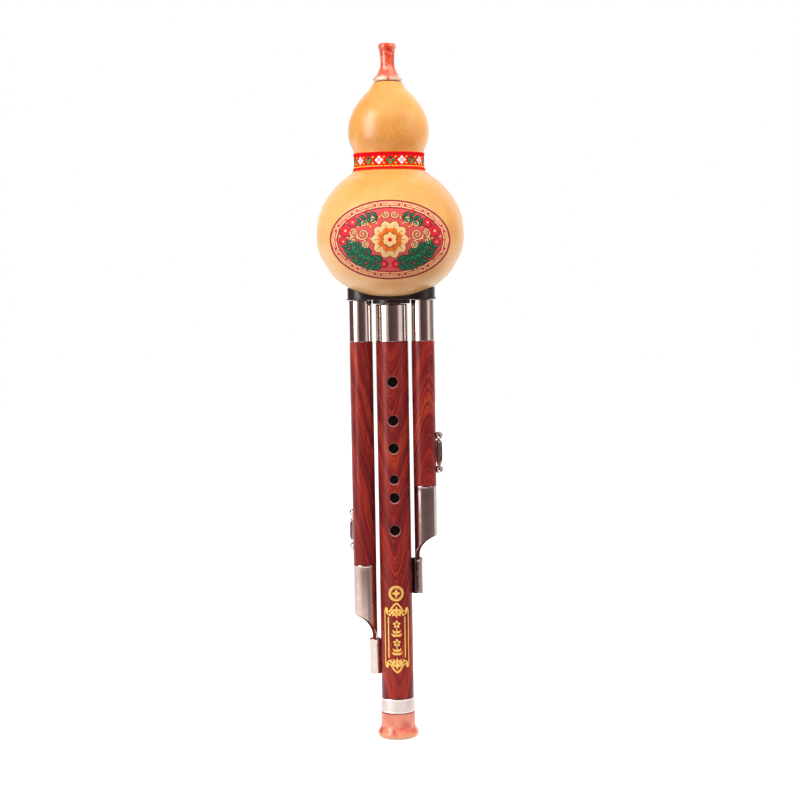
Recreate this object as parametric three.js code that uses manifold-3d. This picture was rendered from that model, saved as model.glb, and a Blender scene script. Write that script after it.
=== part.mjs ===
// A gourd flute: a hollow double gourd with a mouthpiece on top, a shaped base under it, a fingered
// main pipe in the middle and a drone pipe on each side. Millimetres, +Z up along the main pipe,
// origin at the middle of the bell's lower face, -Y the side with the finger holes.
import * as THREE from "three";
import { mergeVertices } from "three/addons/utils/BufferGeometryUtils.js";
import Module from "manifold-3d";

// Fits and cuts
const seatGap = 0.3;
const overrun = 1;

// Bell and the ring above it
const bellHeight = 16.4;
const bellNeckRadius = 10.4;
const bellLipRadius = 13.1;
const bellLipHeight = 2.9;
const bellFlareHeight = 9;
const bellFaceRadius = 11;
const bellMouthRadius = 7.4;
const bellMouthDepth = 5;
const bellTenonHeight = 7.4;
const bellTenonWall = 1.4;
const lipShares = [
  [0.67, 0.2],
  [1, 0.6],
  [1, 1],
];
const flareShares = [
  [0.59, 0.28],
  [0.185, 0.62],
  [0, 1],
];
const ringHeight = 9.3;
const ringWall = 0.9;

// Main pipe
const mainRadius = 10.25;
const mainBoreRadius = 6;
const mainLength = 227.1;
const fingerHoleRadius = 3.3;
const smallHoleRadius = 2.95;
const fingerHoleShares = [0.475, 0.566, 0.617, 0.704, 0.781, 0.888];
const smallHoleIndex = 2;
const thumbHoleShare = 0.948;
const ventHoleRadius = 2.4;
const ventHoleShares = [0.1, 0.15];

// Ferrules at the pipes' tops
const ferruleHeight = 23.4;
const ferruleWall = 0.8;
const mainFerruleInset = 0.1;
const droneFerruleInset = 0.1;

// Drone pipes and their lower sleeves
const droneOffset = 19.5;
const droneRadius = 7.3;
const droneBoreRadius = 4.5;
const sleeveWall = 0.6;
const sleeveLength = 31.6;
const scoopDrop = 12.8;
const woodTongueReach = 4.1;
const metalTongueReach = 5.8;
const woodRimDrop = 0.4;
const tongueHalfWidth = 2;
const tongueTaper = 8;
const tuneTravel = 3;

// Foot sockets on the main pipe and their screws
const socketRadius = 3.6;
const socketWall = 0.6;
const socketHeight = 22.4;
const socketSeatDepth = 0.05;
const screwRadius = 0.8;
const screwHeadRadius = 1.6;
const screwHeadHeight = 1;
const screwLength = 4;

// Side keys
const keyPostRadius = 2.6;
const keyPostSpacing = 21.5;
const keyStemRadius = 1.1;
const keyStemDepth = 2;
const keyTubeRadius = 1.5;
const keyRodRadius = 0.65;
const keyRodEnd = 1.9;
const keyPlateThickness = 1.1;
const keyPlateBite = 0.35;
const keyPlateLength = 14;
const keyPlateStart = -8;
const keyPlateEnd = 76;
const padAngle = 43;
const padRadius = 3.7;
const toneHoleRadius = 2.7;

// What differs between the two drones, heights from the bell's face and angles in degrees
const leftSleeveTop = 111.2;
const leftSocketDrop = 16.3;
const leftKeyRise = 21.4;
const leftKeyTurn = 38;
const rightSleeveTop = 161.3;
const rightSocketDrop = 14.9;
const rightKeyRise = 20.6;
const rightKeyTurn = 2;

// Base that joins the pipes to the gourd
const baseHalfLength = 27.6;
const baseHalfWidth = 12.4;
const baseRimWidth = 0.6;
const baseRimHeight = 1;
const baseBelowGourd = 1.5;
const collarDrop = 2.5;
const collarGap = 0.5;
const plugHeight = 16.5;
const plugWall = 1.3;
const plugSideWall = 1.8;

// Gourd
const gourdWall = 4;
const lowerBulbRadius = 46.2;
const lowerBulbRise = 40.7;
const shoulderHeight = 44.3;
const waistRadius = 21.4;
const neckRise = 19.3;
const upperBulbRadius = 25.25;
const crownHeight = 30;
const crownRadius = 8.8;
const crownHoleRadius = 6.5;

// Outline of the gourd as [share of the radius step, share of the height step], bottom to top
const bellyShares = [
  [0, 0],
  [0.39, 0.052],
  [0.52, 0.118],
  [0.641, 0.201],
  [0.735, 0.285],
  [0.818, 0.386],
  [0.885, 0.509],
  [0.944, 0.631],
  [0.982, 0.754],
];
const shoulderShares = [
  [1, 0],
  [0.98, 0.125],
  [0.93, 0.26],
  [0.85, 0.37],
  [0.755, 0.463],
  [0.629, 0.564],
  [0.45, 0.677],
  [0.335, 0.734],
  [0.194, 0.79],
  [0.075, 0.843],
  [0.024, 0.876],
  [0.003, 0.93],
];
const neckShares = [
  [0, 0],
  [0.026, 0.155],
  [0.104, 0.29],
  [0.338, 0.42],
  [0.623, 0.549],
  [0.831, 0.679],
  [0.961, 0.839],
];
const crownShares = [
  [1, 0],
  [0.957, 0.207],
  [0.845, 0.37],
  [0.669, 0.537],
  [0.426, 0.703],
  [0.14, 0.867],
  [0, 1],
];

// Ribbon round the waist
const ribbonHeight = 10.6;
const ribbonThickness = 0.5;
const ribbonDrop = 5.8;

// Mouthpiece and its cork
const mouthpieceHeight = 23.5;
const mouthpieceBoreRadius = 3.1;
const mouthpieceTenonRadius = 4.7;
const mouthpieceTenonLength = 9;
const mouthpieceRimRadius = 9.4;
const mouthpieceHeadRadius = 5.7;
const mouthpieceNeckRadius = 4.45;
const corkLength = 6;

// Outline of the mouthpiece as [share of the rim's or head's radius, share of the height]
const rimShares = [
  [0.947, 0],
  [1, 0.05],
  [0.93, 0.09],
  [0.83, 0.14],
  [0.66, 0.234],
  [0.532, 0.34],
];
const neckHeightShares = [0.53, 0.66];
const headShares = [
  [0.825, 0.762],
  [0.965, 0.868],
  [1, 0.906],
  [0.95, 0.962],
  [0.8, 1],
];

// Reed tubes, their reed plates and seals
const reedTubeWall = 0.9;
const reedTubeInsert = 14;
const mainReedRise = 42;
const droneReedRise = 34;
const reedCap = 3;
const reedFlatBite = 0.25;
const reedPlateLength = 26;
const reedPlateThickness = 0.9;
const reedPlateDrop = 4;
const reedTongueHalfWidth = 0.9;
const reedSlit = 0.35;
const reedTongueRoot = 5;
const mainSealThickness = 1.6;
const droneSealThickness = 0.9;
const sealLength = 12;
const sealInset = 1.5;

// Facets round each kind of turned piece
const gourdSides = 32;
const mainSides = 28;
const droneSides = 20;
const smallSides = 10;

// Heights worked out from the sizes above
const ringTop = bellHeight + ringHeight;
const ferruleBottom = ringTop + mainLength;
const mainFerruleTop = ferruleBottom + ferruleHeight;
const collarBottom = mainFerruleTop + seatGap;
const baseBottom = collarBottom + collarDrop;
const droneFerruleTop = baseBottom - seatGap;
const gourdBottom = baseBottom + baseBelowGourd;
const plugTop = baseBottom + plugHeight;
const lowerBulbHeight = gourdBottom + lowerBulbRise;
const waistHeight = lowerBulbHeight + shoulderHeight;
const upperBulbHeight = waistHeight + neckRise;
const crownTop = upperBulbHeight + crownHeight;
const mouthpieceBottom = crownTop + seatGap;

// Radii worked out from the sizes above
const ringInner = bellNeckRadius - ringWall;
const mainFerruleRadius = mainRadius - mainFerruleInset;
const droneFerruleRadius = droneRadius - droneFerruleInset;
const collarRadius = droneOffset - droneFerruleRadius - collarGap;
const socketOffset = mainRadius + socketRadius - socketSeatDepth;
const hingeRadius = droneRadius + keyTubeRadius + seatGap;

const wasm = await Module();
wasm.setup();

// A closed geometry as a solid that can be joined and cut
function solidOf(geometry) {
  const bare = geometry.index ? geometry.toNonIndexed() : geometry.clone();
  bare.deleteAttribute("normal");
  bare.deleteAttribute("uv");
  const merged = mergeVertices(bare, seatGap / 1000);
  const corners = merged.index.array;
  const kept = [];
  for (let i = 0; i < corners.length; i += 3) {
    const [a, b, c] = corners.slice(i, i + 3);
    if (a !== b && b !== c && c !== a) kept.push(a, b, c);
  }
  const mesh = new wasm.Mesh({
    numProp: 3,
    vertProperties: merged.attributes.position.array,
    triVerts: new Uint32Array(kept),
  });
  return new wasm.Manifold(mesh);
}

// The other way: a solid's surface as a geometry
function geometryOf(solid) {
  const mesh = solid.getMesh();
  return new THREE.BufferGeometry()
    .setAttribute("position", new THREE.BufferAttribute(mesh.vertProperties, 3))
    .setIndex(new THREE.BufferAttribute(mesh.triVerts, 1));
}

// Twice the area inside an outline, positive when it runs anticlockwise
function signedArea(points) {
  return points.reduce((sum, [x, y], i) => {
    const [nextX, nextY] = points[(i + 1) % points.length];
    return sum + x * nextY - nextX * y;
  }, 0);
}

// A piece turned about the Z axis from its [radius, height] outline
function turned(outline, sides, closes = false) {
  const points = signedArea(outline) > 0 ? [...outline] : [...outline].reverse();
  if (closes) points.push(points[0]);
  const profile = points.map(([radius, height]) => new THREE.Vector2(radius, height));
  return new THREE.LatheGeometry(profile, sides).rotateX(Math.PI / 2);
}

function disc(radius, low, high, sides = mainSides) {
  return turned(
    [
      [0, low],
      [radius, low],
      [radius, high],
      [0, high],
    ],
    sides,
  );
}

function tube(outer, inner, low, high, sides) {
  return turned(
    [
      [inner, low],
      [outer, low],
      [outer, high],
      [inner, high],
    ],
    sides,
    true,
  );
}

// A round bar along +X, lying at a height above the origin
function crossBar(radius, from, to, height, sides = smallSides) {
  return new THREE.CylinderGeometry(radius, radius, to - from, sides)
    .rotateZ(-Math.PI / 2)
    .translate((from + to) / 2, 0, height);
}

// A flat outline in X and Y, raised along Z
function raised(shape, low, high) {
  const options = { depth: high - low, bevelEnabled: false, curveSegments: smallSides };
  return new THREE.ExtrudeGeometry(shape, options).translate(0, 0, low);
}

// An outline of [x, z] points, run along Y
function acrossDepth(outline, halfDepth) {
  const shape = new THREE.Shape(outline.map(([x, z]) => new THREE.Vector2(x, z)));
  return raised(shape, -halfDepth, halfDepth).rotateX(Math.PI / 2);
}

function stadium(halfLength, halfWidth) {
  const straight = halfLength - halfWidth;
  const shape = new THREE.Shape();
  shape.moveTo(-straight, -halfWidth);
  shape.lineTo(straight, -halfWidth);
  shape.absarc(straight, 0, halfWidth, -Math.PI / 2, Math.PI / 2);
  shape.lineTo(-straight, halfWidth);
  shape.absarc(-straight, 0, halfWidth, Math.PI / 2, (3 * Math.PI) / 2);
  return shape;
}

// The gourd's outer outline, from the axis at the bottom to the crown
function gourdOutline() {
  const steps = [
    [bellyShares, 0, lowerBulbRadius, gourdBottom, lowerBulbHeight],
    [shoulderShares, waistRadius, lowerBulbRadius, lowerBulbHeight, waistHeight],
    [neckShares, waistRadius, upperBulbRadius, waistHeight, upperBulbHeight],
    [crownShares, crownRadius, upperBulbRadius, upperBulbHeight, crownTop],
  ];
  return steps.flatMap(([shares, small, large, low, high]) =>
    shares.map(([radiusShare, heightShare]) => [
      small + (large - small) * radiusShare,
      low + (high - low) * heightShare,
    ]),
  );
}

// An outline moved square to itself, outwards for a positive distance
function offsetOutline(outline, distance) {
  return outline.map(([radius, height], i) => {
    const [beforeRadius, beforeHeight] = outline[Math.max(i - 1, 0)];
    const [afterRadius, afterHeight] = outline[Math.min(i + 1, outline.length - 1)];
    const alongRadius = afterRadius - beforeRadius;
    const alongHeight = afterHeight - beforeHeight;
    const length = Math.hypot(alongRadius, alongHeight);
    const movedRadius = radius + (distance * alongHeight) / length;
    const movedHeight = height - (distance * alongRadius) / length;
    return i === 0 ? [0, height - distance] : [movedRadius, movedHeight];
  });
}

function gourdShell() {
  const outer = gourdOutline();
  const inner = offsetOutline(outer, -gourdWall)
    .filter(([radius], i) => i === 0 || (radius > crownHoleRadius && i % 3 === 0))
    .reverse();
  const [, innerTop] = inner[0];
  const outline = [...outer, [crownHoleRadius, crownTop], [crownHoleRadius, innerTop + overrun], ...inner];
  const opening = raised(
    stadium(plugHalfLength + seatGap, plugHalfWidth + seatGap),
    gourdBottom - overrun,
    plugTop,
  );
  return geometryOf(solidOf(turned(outline, gourdSides)).subtract(solidOf(opening)));
}

// Bores of the base, which the seals fill
const mainReedRadius = mainBoreRadius - seatGap;
const droneReedRadius = droneBoreRadius - seatGap;
const mainSeatRadius = mainReedRadius + mainSealThickness + 2 * seatGap;
const droneSeatRadius = droneReedRadius + droneSealThickness + 2 * seatGap;
const plugHalfLength = droneOffset + droneSeatRadius + plugWall;
const plugHalfWidth = mainSeatRadius + plugSideWall;

function pipeBase() {
  const saddle = solidOf(raised(stadium(baseHalfLength, baseHalfWidth), baseBottom, lowerBulbHeight));
  const rim = solidOf(
    raised(
      stadium(baseHalfLength + baseRimWidth, baseHalfWidth + baseRimWidth),
      baseBottom,
      baseBottom + baseRimHeight,
    ),
  );
  const gourd = offsetOutline(gourdOutline(), seatGap);
  const crown = [0, crownTop + seatGap];
  const seated = saddle.add(rim).subtract(solidOf(turned([...gourd, crown], gourdSides)));
  const plug = solidOf(raised(stadium(plugHalfLength, plugHalfWidth), baseBottom + baseRimHeight, plugTop));
  const collar = solidOf(disc(collarRadius, collarBottom, baseBottom + baseRimHeight));
  let base = seated.add(plug).add(collar);
  base = base.subtract(solidOf(disc(mainSeatRadius, collarBottom - overrun, plugTop + overrun)));
  for (const side of [-1, 1]) {
    const bore = disc(droneSeatRadius, baseBottom - overrun, plugTop + overrun, droneSides);
    base = base.subtract(solidOf(bore.translate(side * droneOffset, 0, 0)));
  }
  return geometryOf(base);
}

// Height of a share of the main pipe's visible wood
const alongMain = (share) => ringTop + mainLength * share;

function mainPipe() {
  const spigotRadius = ringInner - seatGap;
  const headRadius = mainFerruleRadius - ferruleWall - seatGap;
  const low = bellHeight + seatGap;
  const tenonSeat = mainBoreRadius + bellTenonWall + seatGap;
  const outline = [
    [tenonSeat, low],
    [spigotRadius, low],
    [spigotRadius, ringTop + seatGap],
    [mainRadius, ringTop + seatGap],
    [mainRadius, ferruleBottom - seatGap],
    [headRadius, ferruleBottom - seatGap],
    [headRadius, mainFerruleTop - ferruleWall - seatGap],
    [mainBoreRadius, mainFerruleTop - ferruleWall - seatGap],
    [mainBoreRadius, bellHeight + bellTenonHeight + seatGap],
    [tenonSeat, bellHeight + bellTenonHeight + seatGap],
  ];
  let pipe = solidOf(turned(outline, mainSides, true));
  const drill = (radius, share, front) => {
    const bit = crossBar(radius, 0, mainRadius + overrun, alongMain(share));
    pipe = pipe.subtract(solidOf(bit.rotateZ(front ? -Math.PI / 2 : Math.PI / 2)));
  };
  fingerHoleShares.forEach((share, i) =>
    drill(i === smallHoleIndex ? smallHoleRadius : fingerHoleRadius, share, true),
  );
  drill(fingerHoleRadius, thumbHoleShare, false);
  ventHoleShares.forEach((share) => drill(ventHoleRadius, share, false));
  for (const drone of drones) {
    const bed = disc(socketRadius + seatGap, drone.socketBottom - seatGap, drone.socketTop + seatGap, droneSides);
    pipe = pipe.subtract(solidOf(bed.translate(drone.side * socketOffset, 0, 0)));
    const pilot = crossBar(screwRadius + seatGap, screwTip - seatGap, mainRadius + overrun, drone.screwHeight);
    pipe = pipe.subtract(solidOf(drone.side > 0 ? pilot : pilot.rotateZ(Math.PI)));
  }
  return geometryOf(pipe);
}

// Where each drone's pieces come, from its own sizes
function droneOf(name, side, sleeveTop, socketDrop, keyRise, keyTurn) {
  const scoopStart = sleeveTop - sleeveLength;
  const socketTop = scoopStart - socketDrop;
  const socketBottom = socketTop - socketHeight;
  const screwHeight = (socketTop + socketBottom) / 2;
  const tongueBottom = screwHeight + screwHeadRadius + seatGap + tuneTravel;
  const keyHeight = sleeveTop + keyRise;
  return {
    name,
    side,
    sleeveTop,
    scoopStart,
    socketTop,
    socketBottom,
    screwHeight,
    tongueBottom,
    keyHeight,
    keyTurn: THREE.MathUtils.degToRad(keyTurn),
  };
}

const drones = [
  droneOf("left", -1, leftSleeveTop, leftSocketDrop, leftKeyRise, leftKeyTurn),
  droneOf("right", 1, rightSleeveTop, rightSocketDrop, rightKeyRise, rightKeyTurn),
];

// Where a screw's flat head meets the round inner wall of its socket, and the screw's tip in the pipe
const screwHeadSeat = socketOffset - Math.sqrt((socketRadius - socketWall) ** 2 - screwHeadRadius ** 2) + seatGap;
const screwTip = screwHeadSeat - screwLength;

// What the scooped lower end of a drone leaves out, in the drone's own frame with +X outwards:
// a quarter ellipse from the outer edge down to a tongue on the inner side
function scoop(start, reach, bottom) {
  const arcSteps = 8;
  const edge = droneRadius + overrun;
  const curve = [];
  for (let i = 0; i <= arcSteps; i++) {
    const angle = (i / arcSteps) * (Math.PI / 2);
    const x = edge - (edge + reach) * Math.sin(angle);
    curve.push([x, start - scoopDrop * (1 - Math.cos(angle))]);
  }
  return acrossDepth([...curve, [-reach, bottom - overrun], [edge, bottom - overrun]], edge);
}

// The waste on both sides of the tongue, as prisms along X
function tongueWaste(drone) {
  const edge = droneRadius + overrun;
  const taperLow = drone.socketTop + tuneTravel + seatGap;
  const outline = [
    [tongueHalfWidth, drone.tongueBottom - overrun],
    [edge, drone.tongueBottom - overrun],
    [edge, taperLow + tongueTaper],
    [tongueHalfWidth, taperLow],
  ];
  const waste = acrossDepth(outline, edge);
  return [Math.PI / 2, -Math.PI / 2].map((turn) => solidOf(waste.clone().rotateZ(turn)));
}

// A drone's solid, cut to its scoop and tongue, then turned so that it faces the right way
function scooped(solid, drone, start, reach) {
  let cut = solid.subtract(solidOf(scoop(start, reach, drone.tongueBottom)));
  for (const waste of tongueWaste(drone)) cut = cut.subtract(waste);
  return cut;
}

const outwards = (drone, geometry) => (drone.side > 0 ? geometry : geometry.rotateZ(Math.PI));

// Turns a key's geometry, made with its hinge on +X, to its place on the drone
function atKey(drone, geometry) {
  const turn = drone.side > 0 ? drone.keyTurn : Math.PI - drone.keyTurn;
  return geometry.rotateZ(turn).translate(0, 0, drone.keyHeight);
}

const postHeights = [-keyPostSpacing / 2, keyPostSpacing / 2];

function dronePipe(drone) {
  const headRadius = droneFerruleRadius - ferruleWall - seatGap;
  const footRadius = droneRadius - sleeveWall - seatGap;
  const outline = [
    [droneBoreRadius, drone.tongueBottom],
    [footRadius, drone.tongueBottom],
    [footRadius, drone.sleeveTop + seatGap],
    [droneRadius, drone.sleeveTop + seatGap],
    [droneRadius, ferruleBottom - seatGap],
    [headRadius, ferruleBottom - seatGap],
    [headRadius, droneFerruleTop - ferruleWall - seatGap],
    [droneBoreRadius, droneFerruleTop - ferruleWall - seatGap],
  ];
  const blank = solidOf(turned(outline, droneSides, true));
  const cut = scooped(blank, drone, drone.scoopStart - woodRimDrop, woodTongueReach);
  let pipe = solidOf(outwards(drone, geometryOf(cut)));
  for (const height of postHeights) {
    const seat = new THREE.SphereGeometry(keyPostRadius + seatGap, smallSides, smallSides / 2);
    pipe = pipe.subtract(solidOf(atKey(drone, seat.translate(hingeRadius, 0, height))));
    const stemFrom = droneRadius - keyStemDepth - seatGap;
    const stemHole = crossBar(keyStemRadius + seatGap, stemFrom, hingeRadius, height);
    pipe = pipe.subtract(solidOf(atKey(drone, stemHole)));
  }
  const tone = crossBar(toneHoleRadius, 0, droneRadius + overrun, 0);
  const toneTurn = drone.side * THREE.MathUtils.degToRad(padAngle);
  return geometryOf(pipe.subtract(solidOf(atKey(drone, tone.rotateZ(toneTurn)))));
}

function lowerSleeve(drone) {
  const blank = solidOf(
    tube(droneRadius, droneRadius - sleeveWall, drone.tongueBottom, drone.sleeveTop, droneSides),
  );
  return outwards(drone, geometryOf(scooped(blank, drone, drone.scoopStart, metalTongueReach)));
}

// A ferrule closed over the end of the wood but for the reed tube's hole
function ferrule(radius, hole, top, sides) {
  const inner = radius - ferruleWall;
  return turned(
    [
      [inner, ferruleBottom],
      [radius, ferruleBottom],
      [radius, top],
      [hole, top],
      [hole, top - ferruleWall],
      [inner, top - ferruleWall],
    ],
    sides,
    true,
  );
}

// A tube closed at its top, with a flat at the front for the reed plate
function reedTube(radius, top, inserted, sides) {
  const inner = radius - reedTubeWall;
  const outline = [
    [0, top - reedCap],
    [inner, top - reedCap],
    [inner, inserted],
    [radius, inserted],
    [radius, top],
    [0, top],
  ];
  const flatFace = inner - reedFlatBite;
  const flatTop = top - reedPlateDrop + seatGap;
  const flatLow = top - reedPlateDrop - reedPlateLength - seatGap;
  const recess = new THREE.BoxGeometry(2 * radius + 2 * overrun, radius, flatTop - flatLow);
  recess.translate(0, -flatFace - radius / 2, (flatTop + flatLow) / 2);
  return geometryOf(solidOf(turned(outline, sides)).subtract(solidOf(recess)));
}

// A reed plate lying on the tube's flat, its tongue cut free on three sides
function reedPlate(radius, top) {
  const flatFace = radius - reedTubeWall - reedFlatBite;
  const halfWidth = Math.sqrt(radius * radius - flatFace * flatFace) - seatGap;
  const plate = new THREE.Shape();
  plate.moveTo(-halfWidth, 0);
  plate.lineTo(halfWidth, 0);
  plate.lineTo(halfWidth, reedPlateLength);
  plate.lineTo(-halfWidth, reedPlateLength);
  const slit = new THREE.Path();
  const edge = reedTongueHalfWidth + reedSlit;
  const tip = reedPlateLength - reedTongueRoot;
  slit.moveTo(-edge, reedTongueRoot);
  slit.lineTo(-edge, tip);
  slit.lineTo(edge, tip);
  slit.lineTo(edge, reedTongueRoot);
  slit.lineTo(reedTongueHalfWidth, reedTongueRoot);
  slit.lineTo(reedTongueHalfWidth, tip - reedSlit);
  slit.lineTo(-reedTongueHalfWidth, tip - reedSlit);
  slit.lineTo(-reedTongueHalfWidth, reedTongueRoot);
  plate.holes.push(slit);
  return raised(plate, 0, reedPlateThickness)
    .rotateX(Math.PI / 2)
    .translate(0, -flatFace - seatGap, top - reedPlateDrop - reedPlateLength);
}

function neckRibbon() {
  const low = waistHeight - ribbonDrop;
  const high = low + ribbonHeight;
  const inside = offsetOutline(gourdOutline(), seatGap);
  const heightAt = (height) => {
    const next = inside.findIndex(([, z], i) => i > 0 && z >= height);
    const [lowRadius, lowHeight] = inside[next - 1];
    const [highRadius, highHeight] = inside[next];
    const share = (height - lowHeight) / (highHeight - lowHeight);
    return [lowRadius + (highRadius - lowRadius) * share, height];
  };
  const between = inside.filter(([, z]) => z > low && z < high);
  const back = [heightAt(low), ...between, heightAt(high)];
  const front = back.map(([radius, height]) => [radius + ribbonThickness, height]);
  return turned([...back, ...front.reverse()], gourdSides, true);
}

function mouthpiece() {
  const at = (share) => mouthpieceBottom + mouthpieceHeight * share;
  const tenonLow = mouthpieceBottom - mouthpieceTenonLength;
  const outline = [
    [mouthpieceBoreRadius, tenonLow],
    [mouthpieceTenonRadius, tenonLow],
    [mouthpieceTenonRadius, mouthpieceBottom],
    ...rimShares.map(([radius, height]) => [mouthpieceRimRadius * radius, at(height)]),
    ...neckHeightShares.map((height) => [mouthpieceNeckRadius, at(height)]),
    ...headShares.map(([radius, height]) => [mouthpieceHeadRadius * radius, at(height)]),
    [mouthpieceBoreRadius, at(1)],
  ];
  return turned(outline, droneSides, true);
}

function bellFoot() {
  const tenonRadius = mainBoreRadius + bellTenonWall;
  const lipStep = bellLipRadius - bellFaceRadius;
  const flareStep = bellLipRadius - bellNeckRadius;
  const flareHeight = bellFlareHeight - bellLipHeight;
  const outline = [
    [bellMouthRadius, 0],
    [bellFaceRadius, 0],
    ...lipShares.map(([radius, height]) => [bellFaceRadius + lipStep * radius, bellLipHeight * height]),
    ...flareShares.map(([radius, height]) => [
      bellNeckRadius + flareStep * radius,
      bellLipHeight + flareHeight * height,
    ]),
    [bellNeckRadius, bellHeight],
    [tenonRadius, bellHeight],
    [tenonRadius, bellHeight + bellTenonHeight],
    [mainBoreRadius, bellHeight + bellTenonHeight],
    [mainBoreRadius, bellMouthDepth],
  ];
  return turned(outline, mainSides, true);
}

// A socket tube standing against the main pipe, with a screw hole in its back wall and, opposite,
// the wider hole that lets the driver through
function footSocket(drone) {
  const inner = socketRadius - socketWall;
  let socket = solidOf(tube(socketRadius, inner, drone.socketBottom, drone.socketTop, droneSides));
  const screwHole = crossBar(screwRadius + seatGap, -socketRadius - overrun, 0, drone.screwHeight);
  const driverHole = crossBar(screwHeadRadius, 0, socketRadius + overrun, drone.screwHeight);
  socket = socket.subtract(solidOf(screwHole)).subtract(solidOf(driverHole));
  return outwards(drone, geometryOf(socket)).translate(drone.side * socketOffset, 0, 0);
}

function footScrew(drone) {
  const headTop = screwHeadSeat + screwHeadHeight;
  const shank = solidOf(crossBar(screwRadius, screwTip, headTop - screwHeadHeight / 2, drone.screwHeight));
  const head = solidOf(crossBar(screwHeadRadius, screwHeadSeat, headTop, drone.screwHeight));
  return outwards(drone, geometryOf(shank.add(head)));
}

function keyPost(drone, height) {
  const ball = solidOf(
    new THREE.SphereGeometry(keyPostRadius, smallSides, smallSides / 2).translate(hingeRadius, 0, height),
  );
  const stem = solidOf(crossBar(keyStemRadius, droneRadius - keyStemDepth, hingeRadius, height));
  const reach = keyPostRadius + overrun;
  const eye = disc(keyRodRadius + seatGap, height - reach, height + reach, smallSides);
  const post = ball.add(stem).subtract(solidOf(eye.translate(hingeRadius, 0, 0)));
  return atKey(drone, geometryOf(post));
}

function keyRod(drone) {
  const half = keyPostSpacing / 2 + keyRodEnd;
  return atKey(drone, disc(keyRodRadius, -half, half, smallSides).translate(hingeRadius, 0, 0));
}

// A ring sector about the drone's axis, between two angles in degrees
function sector(inner, outer, from, to) {
  const shape = new THREE.Shape();
  const [start, end] = [from, to].map(THREE.MathUtils.degToRad);
  shape.absarc(0, 0, outer, start, end, false);
  shape.absarc(0, 0, inner, end, start, true);
  return shape;
}

const plateInner = hingeRadius + keyTubeRadius - keyPlateBite;

// A hinge tube with a curved flap that reaches round the back of the drone
function keyLever(drone) {
  const halfTube = keyPostSpacing / 2 - keyPostRadius - seatGap;
  const reach = halfTube + overrun;
  const barrel = solidOf(disc(keyTubeRadius, -halfTube, halfTube, smallSides).translate(hingeRadius, 0, 0));
  const bore = disc(keyRodRadius + seatGap, -reach, reach, smallSides).translate(hingeRadius, 0, 0);
  const [from, to] = drone.side > 0 ? [keyPlateStart, keyPlateEnd] : [-keyPlateEnd, -keyPlateStart];
  const flap = raised(
    sector(plateInner, plateInner + keyPlateThickness, from, to),
    -keyPlateLength / 2,
    keyPlateLength / 2,
  );
  return atKey(drone, geometryOf(barrel.add(solidOf(flap)).subtract(solidOf(bore))));
}

// A round pad under the flap, curved to the drone
function keyPad(drone) {
  const ringSides = 2 * droneSides;
  const ring = solidOf(
    tube(plateInner - seatGap, droneRadius + seatGap, -padRadius - overrun, padRadius + overrun, ringSides),
  );
  const plug = crossBar(padRadius, droneRadius / 2, plateInner + overrun, 0, droneSides);
  const turn = drone.side * THREE.MathUtils.degToRad(padAngle);
  return atKey(drone, geometryOf(ring.intersect(solidOf(plug.rotateZ(turn)))));
}

// Finishes
const finishes = {
  gourd: { color: 0xeab877, roughness: 0.25, metalness: 0 },
  agate: { color: 0xb8432f, roughness: 0.15, metalness: 0 },
  coral: { color: 0xd97a66, roughness: 0.2, metalness: 0 },
  rosewood: { color: 0x8a2c22, roughness: 0.3, metalness: 0 },
  nickel: { color: 0xd4cfca, roughness: 0.22, metalness: 1 },
  satin: { color: 0xcfc9c4, roughness: 0.4, metalness: 1 },
  brass: { color: 0xc9a04e, roughness: 0.3, metalness: 1 },
  black: { color: 0x16181b, roughness: 0.25, metalness: 0 },
  cork: { color: 0xb98a5c, roughness: 0.9, metalness: 0 },
  ribbon: { color: 0xc8202a, roughness: 0.8, metalness: 0 },
  pad: { color: 0xe8ddc8, roughness: 0.9, metalness: 0 },
};

function piece(name, geometry, finish) {
  const mesh = new THREE.Mesh(geometry, new THREE.MeshStandardMaterial(finishes[finish]));
  mesh.name = name;
  return mesh;
}

function mainPipeGroup() {
  const group = new THREE.Group();
  const inserted = mainFerruleTop - reedTubeInsert;
  const reedTop = plugTop + mainReedRise;
  const sealLow = baseBottom + sealInset;
  const sealInner = mainReedRadius + seatGap;
  group.add(
    piece("main_pipe", mainPipe(), "rosewood"),
    piece(
      "main_top_ferrule",
      ferrule(mainFerruleRadius, mainReedRadius + seatGap, mainFerruleTop, mainSides),
      "nickel",
    ),
    piece("main_bottom_ring", tube(bellNeckRadius, ringInner, bellHeight + seatGap, ringTop, mainSides), "satin"),
    piece("bell_foot", bellFoot(), "coral"),
    piece("main_reed_tube", reedTube(mainReedRadius, reedTop, inserted, droneSides), "brass"),
    piece("main_reed_plate", reedPlate(mainReedRadius, reedTop), "brass"),
    piece(
      "main_joint_seal",
      tube(sealInner + mainSealThickness, sealInner, sealLow, sealLow + sealLength, droneSides),
      "cork",
    ),
  );
  for (const drone of drones) {
    group.add(
      piece(drone.name + "_foot_socket", footSocket(drone), "satin"),
      piece(drone.name + "_foot_screw", footScrew(drone), "nickel"),
    );
  }
  return group;
}

function gourdGroup() {
  const group = new THREE.Group();
  const corkTop = crownTop - seatGap;
  group.add(
    piece("gourd_shell", gourdShell(), "gourd"),
    piece("mouthpiece", mouthpiece(), "agate"),
    piece(
      "mouthpiece_cork",
      tube(crownHoleRadius - seatGap, mouthpieceTenonRadius + seatGap, corkTop - corkLength, corkTop, droneSides),
      "cork",
    ),
    piece("neck_ribbon", neckRibbon(), "ribbon"),
    piece("pipe_base", pipeBase(), "black"),
  );
  return group;
}

function keyGroup(drone) {
  const group = new THREE.Group();
  group.add(
    piece(drone.name + "_key_lever", keyLever(drone), "nickel"),
    piece(drone.name + "_key_pad", keyPad(drone), "pad"),
  );
  return group;
}

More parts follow.
